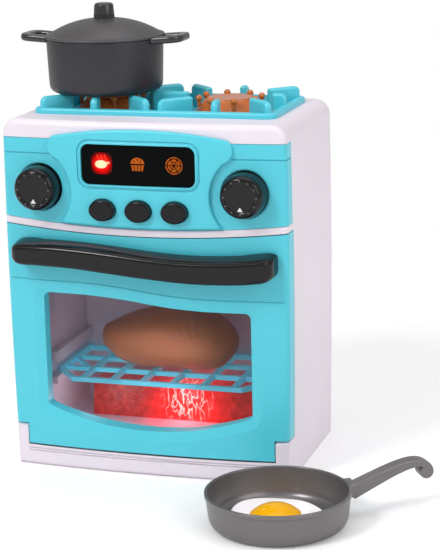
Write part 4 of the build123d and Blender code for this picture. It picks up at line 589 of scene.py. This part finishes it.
def makePot(v):
    # shell: outer wall up, over a rounded lip, down inside; walls lean out a little
    centre = np.array(v["centre"])
    base, rim, tall, wall = v["baseRadius"], v["rimRadius"], v["height"], v["wall"]
    profile = [(0, 0), (base, 0), (rim, tall), (rim - wall, tall), (base - wall, wall), (0, wall)]
    lip = v["lip"]
    shell = eased(profile, (v["baseCurve"], lip, lip, v["baseCurve"] - wall))
    shape("potShell", [turned(shell, centre, 128)], "pot", "pot", "pot_body")

    # ears: a bar carried round a U that tilts up and away from the wall
    tilt = math.radians(v["earTilt"])
    reach = v["earReach"] - v["earBar"][0] / 2
    half = v["earHalf"] - v["earBar"][0] / 2
    corners = [(v["earRoot"], -half), (reach, -half), (reach, half), (v["earRoot"], half)]
    loop = eased(corners, v["earBend"], 10)
    loop = resampled(loop, 60)
    ears = []
    for side in (-1, 1):
        out = loop[:, 0] - v["earRoot"]
        path = np.stack([side * (v["earRoot"] + out * math.cos(tilt)), loop[:, 1],
                         tall - v["earDrop"] + out * math.sin(tilt)], -1) + centre
        section = roundBar(*v["earBar"], v["earRound"])
        up = (-side * math.sin(tilt), 0, math.cos(tilt))
        grid = carried(path, section[:, ::-1], up)
        ears.append(grid)
    shape("potEars", ears, "potShiny", "pot", "pot_body", capped=True)

    # lid: a flat flange, a dome whose height falls as a power of the radius, and a ring inside the rim
    lidFloor = centre + (0, 0, tall + v["lidGap"])
    foot, rise = v["lidFoot"], v["lidRise"] - v["lidEdge"]
    across = np.linspace(foot, 0, 30)
    dome = np.stack([across, v["lidEdge"] + rise * (1 - (across / foot) ** v["lidCurve"])], -1)
    outer = v["lidRadius"]
    edge = eased([(outer - v["flange"], 0), (outer, 0), (outer, v["lidEdge"]), tuple(dome[0])], (lip, lip))
    ring = rim - wall - v["ringGap"]
    under = np.stack([across[::-1][:-3], dome[::-1][:-3, 1] - wall], -1)
    under = under[under[:, 0] < ring - wall]
    inner, low = ring - v["ringWall"], -v["ringDepth"]
    inside = [tuple(under[-1]), (inner, 0.2), (inner, low), (ring, low), (ring, 0), tuple(edge[0])]
    lidLine = np.concatenate([under, eased(inside, (0.3, 0.4, 0.4, 0.2))[1:-1], edge[:-1], dome])
    # the lid finish is the pot's grey painted lighter, as painted sheen on the dome
    shape("lidShell", [turned(lidLine, lidFloor, 128)], "lid", "lid", "pot_lid")

    # knob: a slightly tapering post with a round top and fine ribs round its foot
    radius, high = v["knobRadius"], v["knobHeight"]
    line = eased([(0, 0), (radius, 0), (radius - 0.1, 3.0), (radius - 0.4, high - 3.4),
                  (radius - 0.9, high), (0, high)], (0.2, 0.3, 3.0, 4.6), 8)
    line = resampled(line, 70)
    grid = turned(line, (0, 0, 0), 240)
    angle = np.linspace(0, 2 * np.pi, 240, endpoint=False)
    ribbed = (line[:, 1] > 0.3) & (line[:, 1] < v["ribTop"]) & (line[:, 0] > 5)
    ribs = np.where(ribbed, 1.0, 0.0)[:, None]
    shrink = 1 - v["ribDepth"] * ribs * (0.5 + 0.5 * np.cos(v["knobRibs"] * angle))[None]
    grid[..., :2] *= shrink[..., None]
    grid += lidFloor + (0, 0, v["lidRise"] - v["knobSink"])
    shape("lidKnob", [grid], "potShiny", "lid", "lid_knob")


makePot(pot)
print("pot, lid and knob")

pan = {
    "centre": (105.2, -126.4, 0.0), "turn": 34.0,
    "baseRadius": 42.0, "rimRadius": 44.8, "height": 22.2, "wall": 1.8, "baseCurve": 8.0,
    "lip": 0.8, "lipDrops": (3.2, 2.4, 2.6),  # below the rim: where the lip starts, is full, and ends inside
    "handle": [(46.4, 15.6), (55.0, 19.0), (66.0, 23.4), (77.0, 27.4),
               (86.0, 29.5), (92.2, 29.2), (96.2, 27.2), (98.0, 24.0)],
    "handleWide": 9.6, "handleThick": (9.0, 4.0), "handleBend": 4.5, "handleRound": 0.16,
    "tipRadius": 4.4, "tipPlace": (95.2, 23.4), "tipRound": 0.7,
    "bracket": (3.4, 12.6, 9.0), "bracketSink": 1.2, "bracketRound": 1.2,
}


def makePan(v):
    centre = np.array(v["centre"])
    turn = math.radians(v["turn"])
    out = np.array([math.cos(turn), math.sin(turn), 0])
    aside = np.array([-math.sin(turn), math.cos(turn), 0])
    up = np.array([0, 0, 1.0])

    def placed(points):
        # (outwards, sideways, up) from the pan's axis
        return centre + points[..., :1] * out + points[..., 1:2] * aside + points[..., 2:] * up

    base, rim, tall, wall = v["baseRadius"], v["rimRadius"], v["height"], v["wall"]
    start, full, inside = v["lipDrops"]
    profile = [(0, 0), (base, 0), (rim - v["lip"], tall - start), (rim, tall - full), (rim, tall),
               (rim - wall, tall), (rim - wall - 0.3, tall - inside), (base - wall, wall), (0, wall)]
    line = eased(profile, (v["baseCurve"], 0.5, 0.4, 0.7, 0.7, 1.2, v["baseCurve"] - wall), 7)
    shape("panShell", [turned(line, centre, 144)], "pan", "pan", "pan_bowl")

    # bracket: a short sleeve on the rim that the handle is pushed into
    deep, wide, high = v["bracket"]
    path = np.linspace((rim - v["bracketSink"], 0, tall - high / 2), (rim + deep, 0, tall - high / 2), 8)
    grid = placed(carried(path, roundBar(wide, high, v["bracketRound"]), (0, 1, 0)))
    shape("panBracket", [grid], "pan", "pan", "pan_bowl", capped=True)

    # handle: a flat bar that climbs, arches over and runs into a small lying cylinder
    spine = resampled(eased(v["handle"], v["handleBend"], 8), 70)
    path = np.stack([spine[:, 0], 0 * spine[:, 0], spine[:, 1]], -1)
    along = np.linspace(0, 1, len(path))
    thick = v["handleThick"][0] + (v["handleThick"][1] - v["handleThick"][0]) * along
    unit = roundBar(1, 1, v["handleRound"])
    section = np.stack([np.broadcast_to(unit[:, 0] * v["handleWide"], (len(path), len(unit))),
                        unit[:, 1] * thick[:, None]], -1)
    bar = placed(carried(path, section, (0, 1, 0)))
    shape("panHandle", [bar], "pan", "pan", "pan_handle", capped=True)
    r, z = v["tipPlace"]
    half = v["handleWide"] / 2 + 0.1
    drum = eased([(0, -half), (v["tipRadius"], -half), (v["tipRadius"], half), (0, half)], v["tipRound"], 5)
    angle = np.linspace(0, 2 * np.pi, 48, endpoint=False)
    grid = np.stack([r + drum[:, :1] * np.cos(angle), drum[:, 1:] + 0 * angle,
                     z + drum[:, :1] * np.sin(angle)], -1)
    shape("panHandleTip", [placed(grid)], "pan", "pan", "pan_handle")


makePan(pan)
print("frying pan")

egg = {
    "centre": (102.0, -121.2, 1.9), "radius": 31.4, "thick": 3.4,
    "lobes": ((3, 0.035, 0.4), (5, 0.022, 1.7), (2, 0.03, 2.2)),  # waves round the edge, size, start
    # mean radius, width of the edge and its height are shares of radius, radius and thick
    "mean": 0.94, "edge": 0.08, "edgeRise": 0.92, "ripple": 0.16, "rippleAround": 3, "rippleOut": 6,
    "yolkRadius": 16.8, "yolkFloor": 2.0, "yolkRise": 7.4,
}


def makeEgg(v):
    # white: outline radius is a sum of slow waves; height falls off in a quarter circle at the edge
    centre = np.array(v["centre"])
    angle = np.linspace(0, 2 * np.pi, 120, endpoint=False)
    outline = v["radius"] * (v["mean"] + sum(a * np.sin(n * angle + p) for n, a, p in v["lobes"]))
    t = np.linspace(0, 1, 30)[:, None]
    radius = outline * np.sin(t * np.pi / 2) ** 0.8
    edge = np.clip((1 - radius / outline) / v["edge"], 0, 1)
    ripple = v["ripple"] * np.sin(v["rippleAround"] * angle + v["rippleOut"] * t) * np.sin(np.pi * t)
    top = v["thick"] * np.sqrt(1 - (1 - edge) ** 2) * v["edgeRise"] + ripple * edge
    upper = np.stack([radius * np.cos(angle), radius * np.sin(angle), top], -1)
    lower = upper[::-1] * (1, 1, 0)
    grid = np.concatenate([upper, lower[1:]]) + centre
    shape("eggWhite", [grid], "eggWhite", "egg", "egg_white")
    # yolk: part of a ball on a flat foot
    foot, rise = v["yolkRadius"], v["yolkRise"]
    ball = (foot**2 + rise**2) / (2 * rise)
    across = np.linspace(foot, 0, 30)
    dome = np.stack([across, np.sqrt(ball**2 - across**2) - ball + rise], -1)
    line = np.concatenate([[(0, 0), (foot - 0.4, 0)], dome])
    shape("eggYolk", [turned(line, centre + (0, 0, v["yolkFloor"]), 96)], "eggYolk", "egg",
          "egg_yolk")


makeEgg(egg)
print("egg")

roast = {
    "floor": 57.1,
    # place along the body, half depth, height of the top, y of the middle, height of the underside
    "stations": [
        (-50.8, 1.2, 79.0, -3.0, 76.5), (-49.6, 5.0, 82.0, -3.0, 73.0), (-45.0, 12.0, 86.0, -3.0, 68.0),
        (-36.0, 19.0, 90.5, -2.0, 61.5), (-22.0, 24.5, 95.5, -1.0, 57.6), (-6.0, 26.5, 98.6, -0.5, 57.1),
        (12.0, 26.5, 98.8, -0.5, 57.1), (26.0, 23.5, 96.0, -1.5, 57.8), (35.0, 18.5, 91.5, -3.0, 61.0),
        (41.0, 12.0, 86.5, -4.0, 67.0), (44.4, 5.0, 81.5, -4.5, 72.5), (45.4, 1.2, 79.0, -4.5, 76.0),
    ],
    "squareness": 0.75,  # below 1 the underside is fuller than an oval
    # radians of each wave per mm along and up, how far it sways, how often round, and where it starts
    "wave": {"along": 1.1, "up": 0.8, "sway": 2.6, "around": 3, "start": 0.4},
    "cross": {"along": 0.6, "up": 1.4, "sway": 1.5, "around": 5},
    "foldPlace": 18.0, "foldReach": 15.0, "foldDepth": 0.34, "foldShares": (0.6, 0.4),
    "fullPush": 12.0,  # half depth at which the folds are full; they fade where the body is thinner
    "waist": (-41.0, 3.2, 0.6),  # a shallow groove behind the neck: place, reach, depth
}


def smoothed(x, xs, ys):
    # cubic through the stations with slopes from their neighbours
    xs, ys = np.array(xs, float), np.array(ys, float)
    slope = np.gradient(ys, xs)
    k = np.clip(np.searchsorted(xs, x) - 1, 0, len(xs) - 2)
    h = xs[k + 1] - xs[k]
    t = (x - xs[k]) / h
    return ((2 * t**3 - 3 * t**2 + 1) * ys[k] + (t**3 - 2 * t**2 + t) * h * slope[k]
            + (3 * t**2 - 2 * t**3) * ys[k + 1] + (t**3 - t**2) * h * slope[k + 1])


def makeRoast(v):
    # each slice is an oval, a little squared where it lies on the rack
    xs, halves, tops, middles, lows = zip(*v["stations"])
    along = xs[0] + (xs[-1] - xs[0]) * (0.5 - 0.5 * np.cos(np.pi * np.linspace(0, 1, 130)))
    half, top, middle, low = (smoothed(along, xs, ys)[:, None] for ys in (halves, tops, middles, lows))
    angle = np.linspace(0, 2 * np.pi, 160, endpoint=False)[None]
    rise = np.sin(angle)
    y = middle - half * np.cos(angle)
    z = (top + low) / 2 + (top - low) / 2 * np.where(rise < 0, -np.abs(rise) ** v["squareness"], rise)
    # folds of skin: crossed waves that fade out away from the thick end, and a groove behind the neck
    far = (along[:, None] - v["foldPlace"]) / v["foldReach"]
    a, b = v["wave"], v["cross"]
    sway = a["sway"] * np.sin(angle * a["around"] + a["start"])
    wave = np.sin(along[:, None] * a["along"] + sway + z * a["up"])
    sway = b["sway"] * np.cos(angle * b["around"])
    cross = np.sin(along[:, None] * b["along"] - z * b["up"] + sway)
    first, second = v["foldShares"]
    push = v["foldDepth"] * (first * wave + second * cross) * np.exp(-far**2) * np.clip(rise + 0.5, 0, 1)
    place, reach, depth = v["waist"]
    push = push - depth * np.exp(-((along[:, None] - place) / reach) ** 2)
    inward = np.clip(half / v["fullPush"], 0, 1)
    y = y - push * np.cos(angle) * inward
    z = np.maximum(z + push * rise * inward, v["floor"])
    grid = np.stack([along[:, None] + 0 * y, y, z], -1)
    shape("roast", [grid], "roast", "roast", "roast_chicken", capped=True, smooth=80)


makeRoast(roast)
print("roast")

knobs = {
    "nodes": {"knob_left": -68.5, "knob_right": 68.5}, "height": 189.3,
    "profile": [(0, 0.5), (9.4, 0.5), (10.0, 0.1), (11.6, 0.1),
                (13.6, 2.2), (14.2, 6.0), (14.7, 12.2), (15.0, 13.0)],
    "profileEase": (0.2, 0.5, 1.2, 2.6, 3.0, 0.8),
    "faceDepth": 0.1, "markDepth": 0.2, "dots": 12, "dotRing": 10.6, "dotRadius": 0.65, "dotRise": 0.3,
    "pointerPlace": 7.2, "pointerWide": 3.6, "pointerTall": 2.7, "pointerRise": 0.35,
}


def makeKnobs(v):
    # a profile of (radius, depth from the face) carried round an axis that points backwards
    def facing(profile, x, face, z, around):
        angle = np.linspace(0, 2 * np.pi, around, endpoint=False)
        radius, depth = profile[:, :1], profile[:, 1:]
        return np.stack([x + radius * np.cos(angle), face + depth + 0 * angle,
                         z + radius * np.sin(angle)], -1)

    for node, x in v["nodes"].items():
        low, high = (np.array(corner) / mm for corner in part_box(node))
        face, z = low[1] + v["faceDepth"], v["height"]
        line = eased(v["profile"], v["profileEase"], 5)
        radius = v["profile"][-1][0]
        line = np.concatenate([line, [(radius, high[1] - face), (0, high[1] - face)]])
        label = node.replace("_", " ").title().replace(" ", "")
        shape("dressed" + label, [facing(line, x, face, z, 128)], "dark", node, node)
        # dots round the rim, each a low dome whose grey is a painted highlight, and a small triangle that
        # points at them
        mark = face + v["markDepth"]
        turns = np.arange(v["dots"]) * 2 * np.pi / v["dots"]
        dome = np.array([(0, -v["dotRise"]), (0.6, -0.8 * v["dotRise"]), (1, 0), (1, 0.6), (0, 0.6)])
        dome[:, 0] *= v["dotRadius"]
        dots = [facing(dome, x + v["dotRing"] * math.cos(t), mark, z + v["dotRing"] * math.sin(t), 16)
                for t in turns]
        shape("dots" + label, dots, "knobDotHighlight", node, None)
        wide, tall = v["pointerWide"] / 2, v["pointerTall"] / 2
        corners = np.array([(-wide, -tall), (wide, -tall), (0, tall)])
        rows = np.array([(1.0, 1.0), (1.0, 0.4 - v["pointerRise"]), (0.7, 0.3 - v["pointerRise"])])
        grid = np.stack([x + rows[:, :1] * corners[:, 0], mark + rows[:, 1:] + 0 * corners[:, 0],
                         z - v["pointerPlace"] + rows[:, :1] * corners[:, 1]], -1)
        shape("pointer" + label, [grid], "paint", node, None, capped=True)


makeKnobs(knobs)
print("knobs")

handle = {
    # place across the door, foot and head of the bar there
    "stations": [(-86.0, 142.6, 153.6), (-80.0, 140.9, 155.0), (-69.0, 140.7, 155.5), (-43.5, 140.2, 155.3),
                 (-18.0, 138.2, 153.7), (7.3, 136.0, 151.3), (32.7, 134.3, 149.8), (58.0, 134.2, 150.2),
                 (75.0, 135.2, 151.4), (83.4, 136.4, 152.2), (88.5, 138.2, 152.2)],
    "reach": 17.0, "gap": 2.4, "footLength": 15.0, "footEase": 6.0, "sink": 0.1,
    "endCurve": 6.5, "endTaper": 1.2, "corner": 3.2, "slope": 1.4,
    "bowRadius": 905.0, "doorY": -63.0,
}


def makeHandle(v):
    # slices across the door: each a rectangle with round corners between the back and the front of the bar;
    # the front follows the bowed door at a fixed reach and curves in over a quarter circle at each end
    xs, feet, heads = (np.array(column) for column in zip(*v["stations"]))
    curve = v["endCurve"]
    quarter = np.linspace(0, np.pi / 2, 9)
    ends = curve * (1 - np.cos(quarter))
    between = np.linspace(xs[0] + curve, xs[-1] - curve, 90)[1:-1]
    x = np.concatenate([xs[0] + ends, between, (xs[-1] - ends)[::-1]])
    inset = np.minimum(x - xs[0], xs[-1] - x)
    bend = np.clip(1 - inset / curve, 0, 1)
    door = v["doorY"] + v["bowRadius"] - np.sqrt(v["bowRadius"] ** 2 - x**2)
    front = door - v["reach"] + curve * (1 - np.sqrt(1 - bend**2))
    away = np.clip((inset - v["footLength"]) / v["footEase"], 0, 1)
    back = door - v["gap"] * away**2 * (3 - 2 * away) - v["sink"]
    foot = smoothed(x, xs, feet) + v["endTaper"] * bend**3
    head = smoothed(x, xs, heads) - v["endTaper"] * bend**3
    arc = np.linspace(0, np.pi / 2, 7)
    turns = arc[None] + np.arange(4)[:, None] * np.pi / 2
    side, level = np.array([1, -1, -1, 1]), np.array([1, 1, -1, -1])
    half = np.stack([(back - front) / 2, (head - foot) / 2], -1)[:, None, None]
    corner = v["corner"]
    unit = np.stack([np.cos(turns), np.sin(turns)], -1)[None]
    quadrants = np.stack([side, level], -1)[None, :, None]
    section = quadrants * (half - corner) + corner * unit
    section = section.reshape(len(x), -1, 2)
    # the upper half slopes: its front edge is lower than its back edge
    upper = np.clip(section[..., 1] / half[:, 0, :, 1], 0, 1)
    lift = v["slope"] * upper * section[..., 0] / half[:, 0, :, 0]
    grid = np.stack([x[:, None] + 0 * lift, (front + back)[:, None] / 2 + section[..., 0],
                     (foot + head)[:, None] / 2 + section[..., 1] + lift], -1)
    shape("handleBar", [grid], "dark", "door", "door_handle", capped=True, smooth=50)


makeHandle(handle)
print("handle")

beads = {"spread": 40.7, "middleY": 4.2, "height": 240.0, "ring": 20.5, "radius": 2.25, "count": 8}


def makeBeads(v):
    # a ball over each stem of the two burners
    turn = np.linspace(-np.pi / 2, np.pi / 2, 17)
    ball = v["radius"] * np.stack([np.cos(turn), np.sin(turn)], -1)
    around = (np.arange(v["count"]) + 0.5) * 2 * np.pi / v["count"]
    for side, label in ((-1, "beadsLeft"), (1, "beadsRight")):
        middles = [(side * v["spread"] + v["ring"] * math.cos(a), v["middleY"] + v["ring"] * math.sin(a),
                    v["height"]) for a in around]
        balls = [turned(ball, middle, 24) for middle in middles]
        shape(label, balls, "bead", "cabinet", None)


makeBeads(beads)
print("beads")

signs = {
    "places": (-24.0, 0.0, 24.0), "height": 206.7, "proud": 0.05, "thick": 0.05,
    "faceY": -65.2, "bowRadius": 905.0,
    "glowSize": 14.0, "sizes": (0.9, 0.88, 0.94), "lift": 0.06,
    # ovals as middle across, middle up, half width, half height
    "body": (-0.4, -0.6, 4.6, 2.9), "bone": (5.0, 0.6, 1.5, 0.8),
    "wisps": (-2.6, 0.2, 3.0), "wispFoot": 2.6, "wispTall": 3.6, "wispHalf": 0.35, "wispSway": 0.7,
    "cap": (0.0, 0.6, 5.2, 4.4), "capDots": ((-2.4, 2.2), (0.0, 3.4), (2.4, 2.2)), "capDot": 0.55,
    "folds": (-3.9, -1.3, 1.3, 3.9), "foldTop": (1.0, -0.4), "foldFoot": (0.75, -4.6), "foldTaper": 0.82,
    "pieCut": 6, "pieRim": (5.1, 5.9), "pieSlice": 4.3, "pieDotRing": 2.6, "pieDot": 0.5,
}


def makeSigns(v):
    # flat shapes a hair in front of the pane: an outline of points filled as one face
    def faceAt(x):
        return v["faceY"] + x**2 / (2 * v["bowRadius"]) - v["proud"]

    def plates(name, outlines, middle, finish, lift=0.0):
        mesh = bpy.data.meshes.new(name)
        work = bmesh.new()
        for outline in outlines:
            outline = np.asarray(outline, float) * v["sizes"][v["places"].index(middle)]
            x = outline[:, 0] + middle
            z = outline[:, 1] + v["height"]
            front = [work.verts.new((a * mm, (faceAt(a) - lift - v["thick"]) * mm, b * mm))
                     for a, b in zip(x, z)]
            back = [work.verts.new((a * mm, (faceAt(a) - lift) * mm, b * mm)) for a, b in zip(x, z)]
            work.faces.new(front)
            work.faces.new(back[::-1])
            for k in range(len(front)):
                work.faces.new((front[k - 1], front[k], back[k], back[k - 1]))
        work.to_mesh(mesh)
        work.free()
        return finished(name, mesh, finish, "cabinet", None)

    def oval(x, z, a, b, start=0, stop=360, count=28):
        t = np.radians(np.linspace(start, stop, count, endpoint=abs(stop - start) < 360))
        return np.stack([x + a * np.cos(t), z + b * np.sin(t)], -1)

    def band(x, z, inner, outer, start, stop):
        return np.concatenate([oval(x, z, outer, outer, start, stop, 14),
                               oval(x, z, inner, inner, stop, start, 14)])

    left, centre, right = v["places"]
    # a roast with a bone and three wisps of steam, over a soft red glow
    steam = []
    t = np.linspace(0, 1, 9)
    for x in v["wisps"]:
        wave = x + v["wispSway"] * np.sin(2 * np.pi * t)
        up = v["wispFoot"] + v["wispTall"] * t
        steam.append(np.concatenate([np.stack([wave - v["wispHalf"], up], -1),
                                     np.stack([wave + v["wispHalf"], up], -1)[::-1]]))
    plates("signRoast", [oval(*v["body"]), oval(*v["bone"])], left, "signHot", v["lift"])
    plates("signSteam", steam, left, "signSteam", v["lift"])
    half = v["glowSize"] / 2 / v["sizes"][0]
    plates("signGlow", [[(-half, -half), (half, -half), (half, half), (-half, half)]], left, "signGlow")
    # a cake in its folded paper cup
    (wide, top), (narrow, foot) = v["foldTop"], v["foldFoot"]
    cup = []
    for x in v["folds"]:
        under = x * v["foldTaper"]
        cup.append([(x - wide, top), (x + wide, top), (under + narrow, foot), (under - narrow, foot)])
    plates("signCake", [oval(*v["cap"], 0, 180, 22)] + cup, centre, "signWarm")
    capDots = [oval(x, z, v["capDot"], v["capDot"], count=10) for x, z in v["capDots"]]
    plates("signCakeDots", capDots, centre, "signDark", v["lift"])
    # a flat pie cut into slices inside a rim, with a dot on each slice
    turn = 360 // v["pieCut"]
    rim = [band(0, 0, *v["pieRim"], turn * k + 3, turn * k + turn - 3) for k in range(v["pieCut"])]
    slices = []
    for k in range(v["pieCut"]):
        wedge = oval(0, 0, v["pieSlice"], v["pieSlice"], turn * k + 5, turn * k + turn - 5, 10)
        slices.append(np.concatenate([wedge, [wedge.mean(0) * 0.18]]))
    plates("signPie", rim + slices, right, "signWarm")
    ring, dot = v["pieDotRing"], v["pieDot"]
    middles = np.radians(np.arange(turn // 2, 360 + turn // 2, turn))
    pieDots = [oval(ring * math.cos(a), ring * math.sin(a), dot, dot, count=8) for a in middles]
    plates("signPieDots", pieDots, right, "signDark", v["lift"])


def lit(name, colour, strength):
    # a printed sign lit from behind: a little uneven, like a lamp seen through film
    material = bpy.data.materials.new(name)
    tree = nodeTree(material)
    coords = tree.nodes.new("ShaderNodeTexCoord").outputs["Object"]
    shine = tree.nodes.new("ShaderNodeEmission")
    cloud = noiseTexture(tree, 320.0, 2.0, 0.5, coords)
    dim = tuple(c * 0.7 for c in linear(colour))
    tree.links.new(blendColour(tree, spread(tree, cloud, 0, 1), dim, linear(colour)), shine.inputs["Color"])
    shine.inputs["Strength"].default_value = strength
    out = tree.nodes.new("ShaderNodeOutputMaterial")
    tree.links.new(shine.outputs[0], out.inputs["Surface"])
    return material


def glowPatch(name, place, reach, colour, strength, power):
    # light that fades with distance from a point: 1 at the point, 0 at reach, raised to a power
    material = bpy.data.materials.new(name)
    tree = nodeTree(material)
    coords = tree.nodes.new("ShaderNodeTexCoord").outputs["Object"]
    centred = tree.nodes.new("ShaderNodeMapping")
    centred.vector_type = "POINT"
    centred.inputs["Location"].default_value = tuple(-c / reach for c in place)
    centred.inputs["Scale"].default_value = (1 / reach,) * 3
    tree.links.new(coords, centred.inputs["Vector"])
    ball = tree.nodes.new("ShaderNodeTexGradient")
    ball.gradient_type = "SPHERICAL"
    tree.links.new(centred.outputs[0], ball.inputs["Vector"])
    fade = tree.nodes.new("ShaderNodeMath")
    fade.operation = "POWER"
    fade.inputs[1].default_value = power
    tree.links.new(ball.outputs["Fac"], fade.inputs[0])
    shine = tree.nodes.new("ShaderNodeEmission")
    shine.inputs["Color"].default_value = (*linear(colour), 1)
    shine.inputs["Strength"].default_value = strength
    clear = tree.nodes.new("ShaderNodeBsdfTransparent")
    mix = tree.nodes.new("ShaderNodeMixShader")
    tree.links.new(fade.outputs[0], mix.inputs["Fac"])
    tree.links.new(clear.outputs[0], mix.inputs[1])
    tree.links.new(shine.outputs[0], mix.inputs[2])
    out = tree.nodes.new("ShaderNodeOutputMaterial")
    tree.links.new(mix.outputs[0], out.inputs["Surface"])
    return material


signPrints = {
    "signSteam": {"colour": (255, 84, 60), "strength": 1.1},
    "signWarm": {"colour": (214, 104, 34), "strength": 0.9},
    "signDark": {"colour": (40, 14, 8), "strength": 0.3},
}
signGlows = {
    "signHot": {"place": (-0.0242, -0.0652, 0.2062), "reach": 0.006, "colour": (255, 190, 150),
                "strength": 1.9, "power": 0.6},
    "signGlow": {"place": (-0.024, -0.0652, 0.2065), "reach": 0.0086, "colour": (255, 16, 10),
                 "strength": 2.0, "power": 1.7},
}
for name, values in signPrints.items():
    made[name] = lit(name, **values)
for name, values in signGlows.items():
    made[name] = glowPatch(name, **values)
makeSigns(signs)
print("signs")
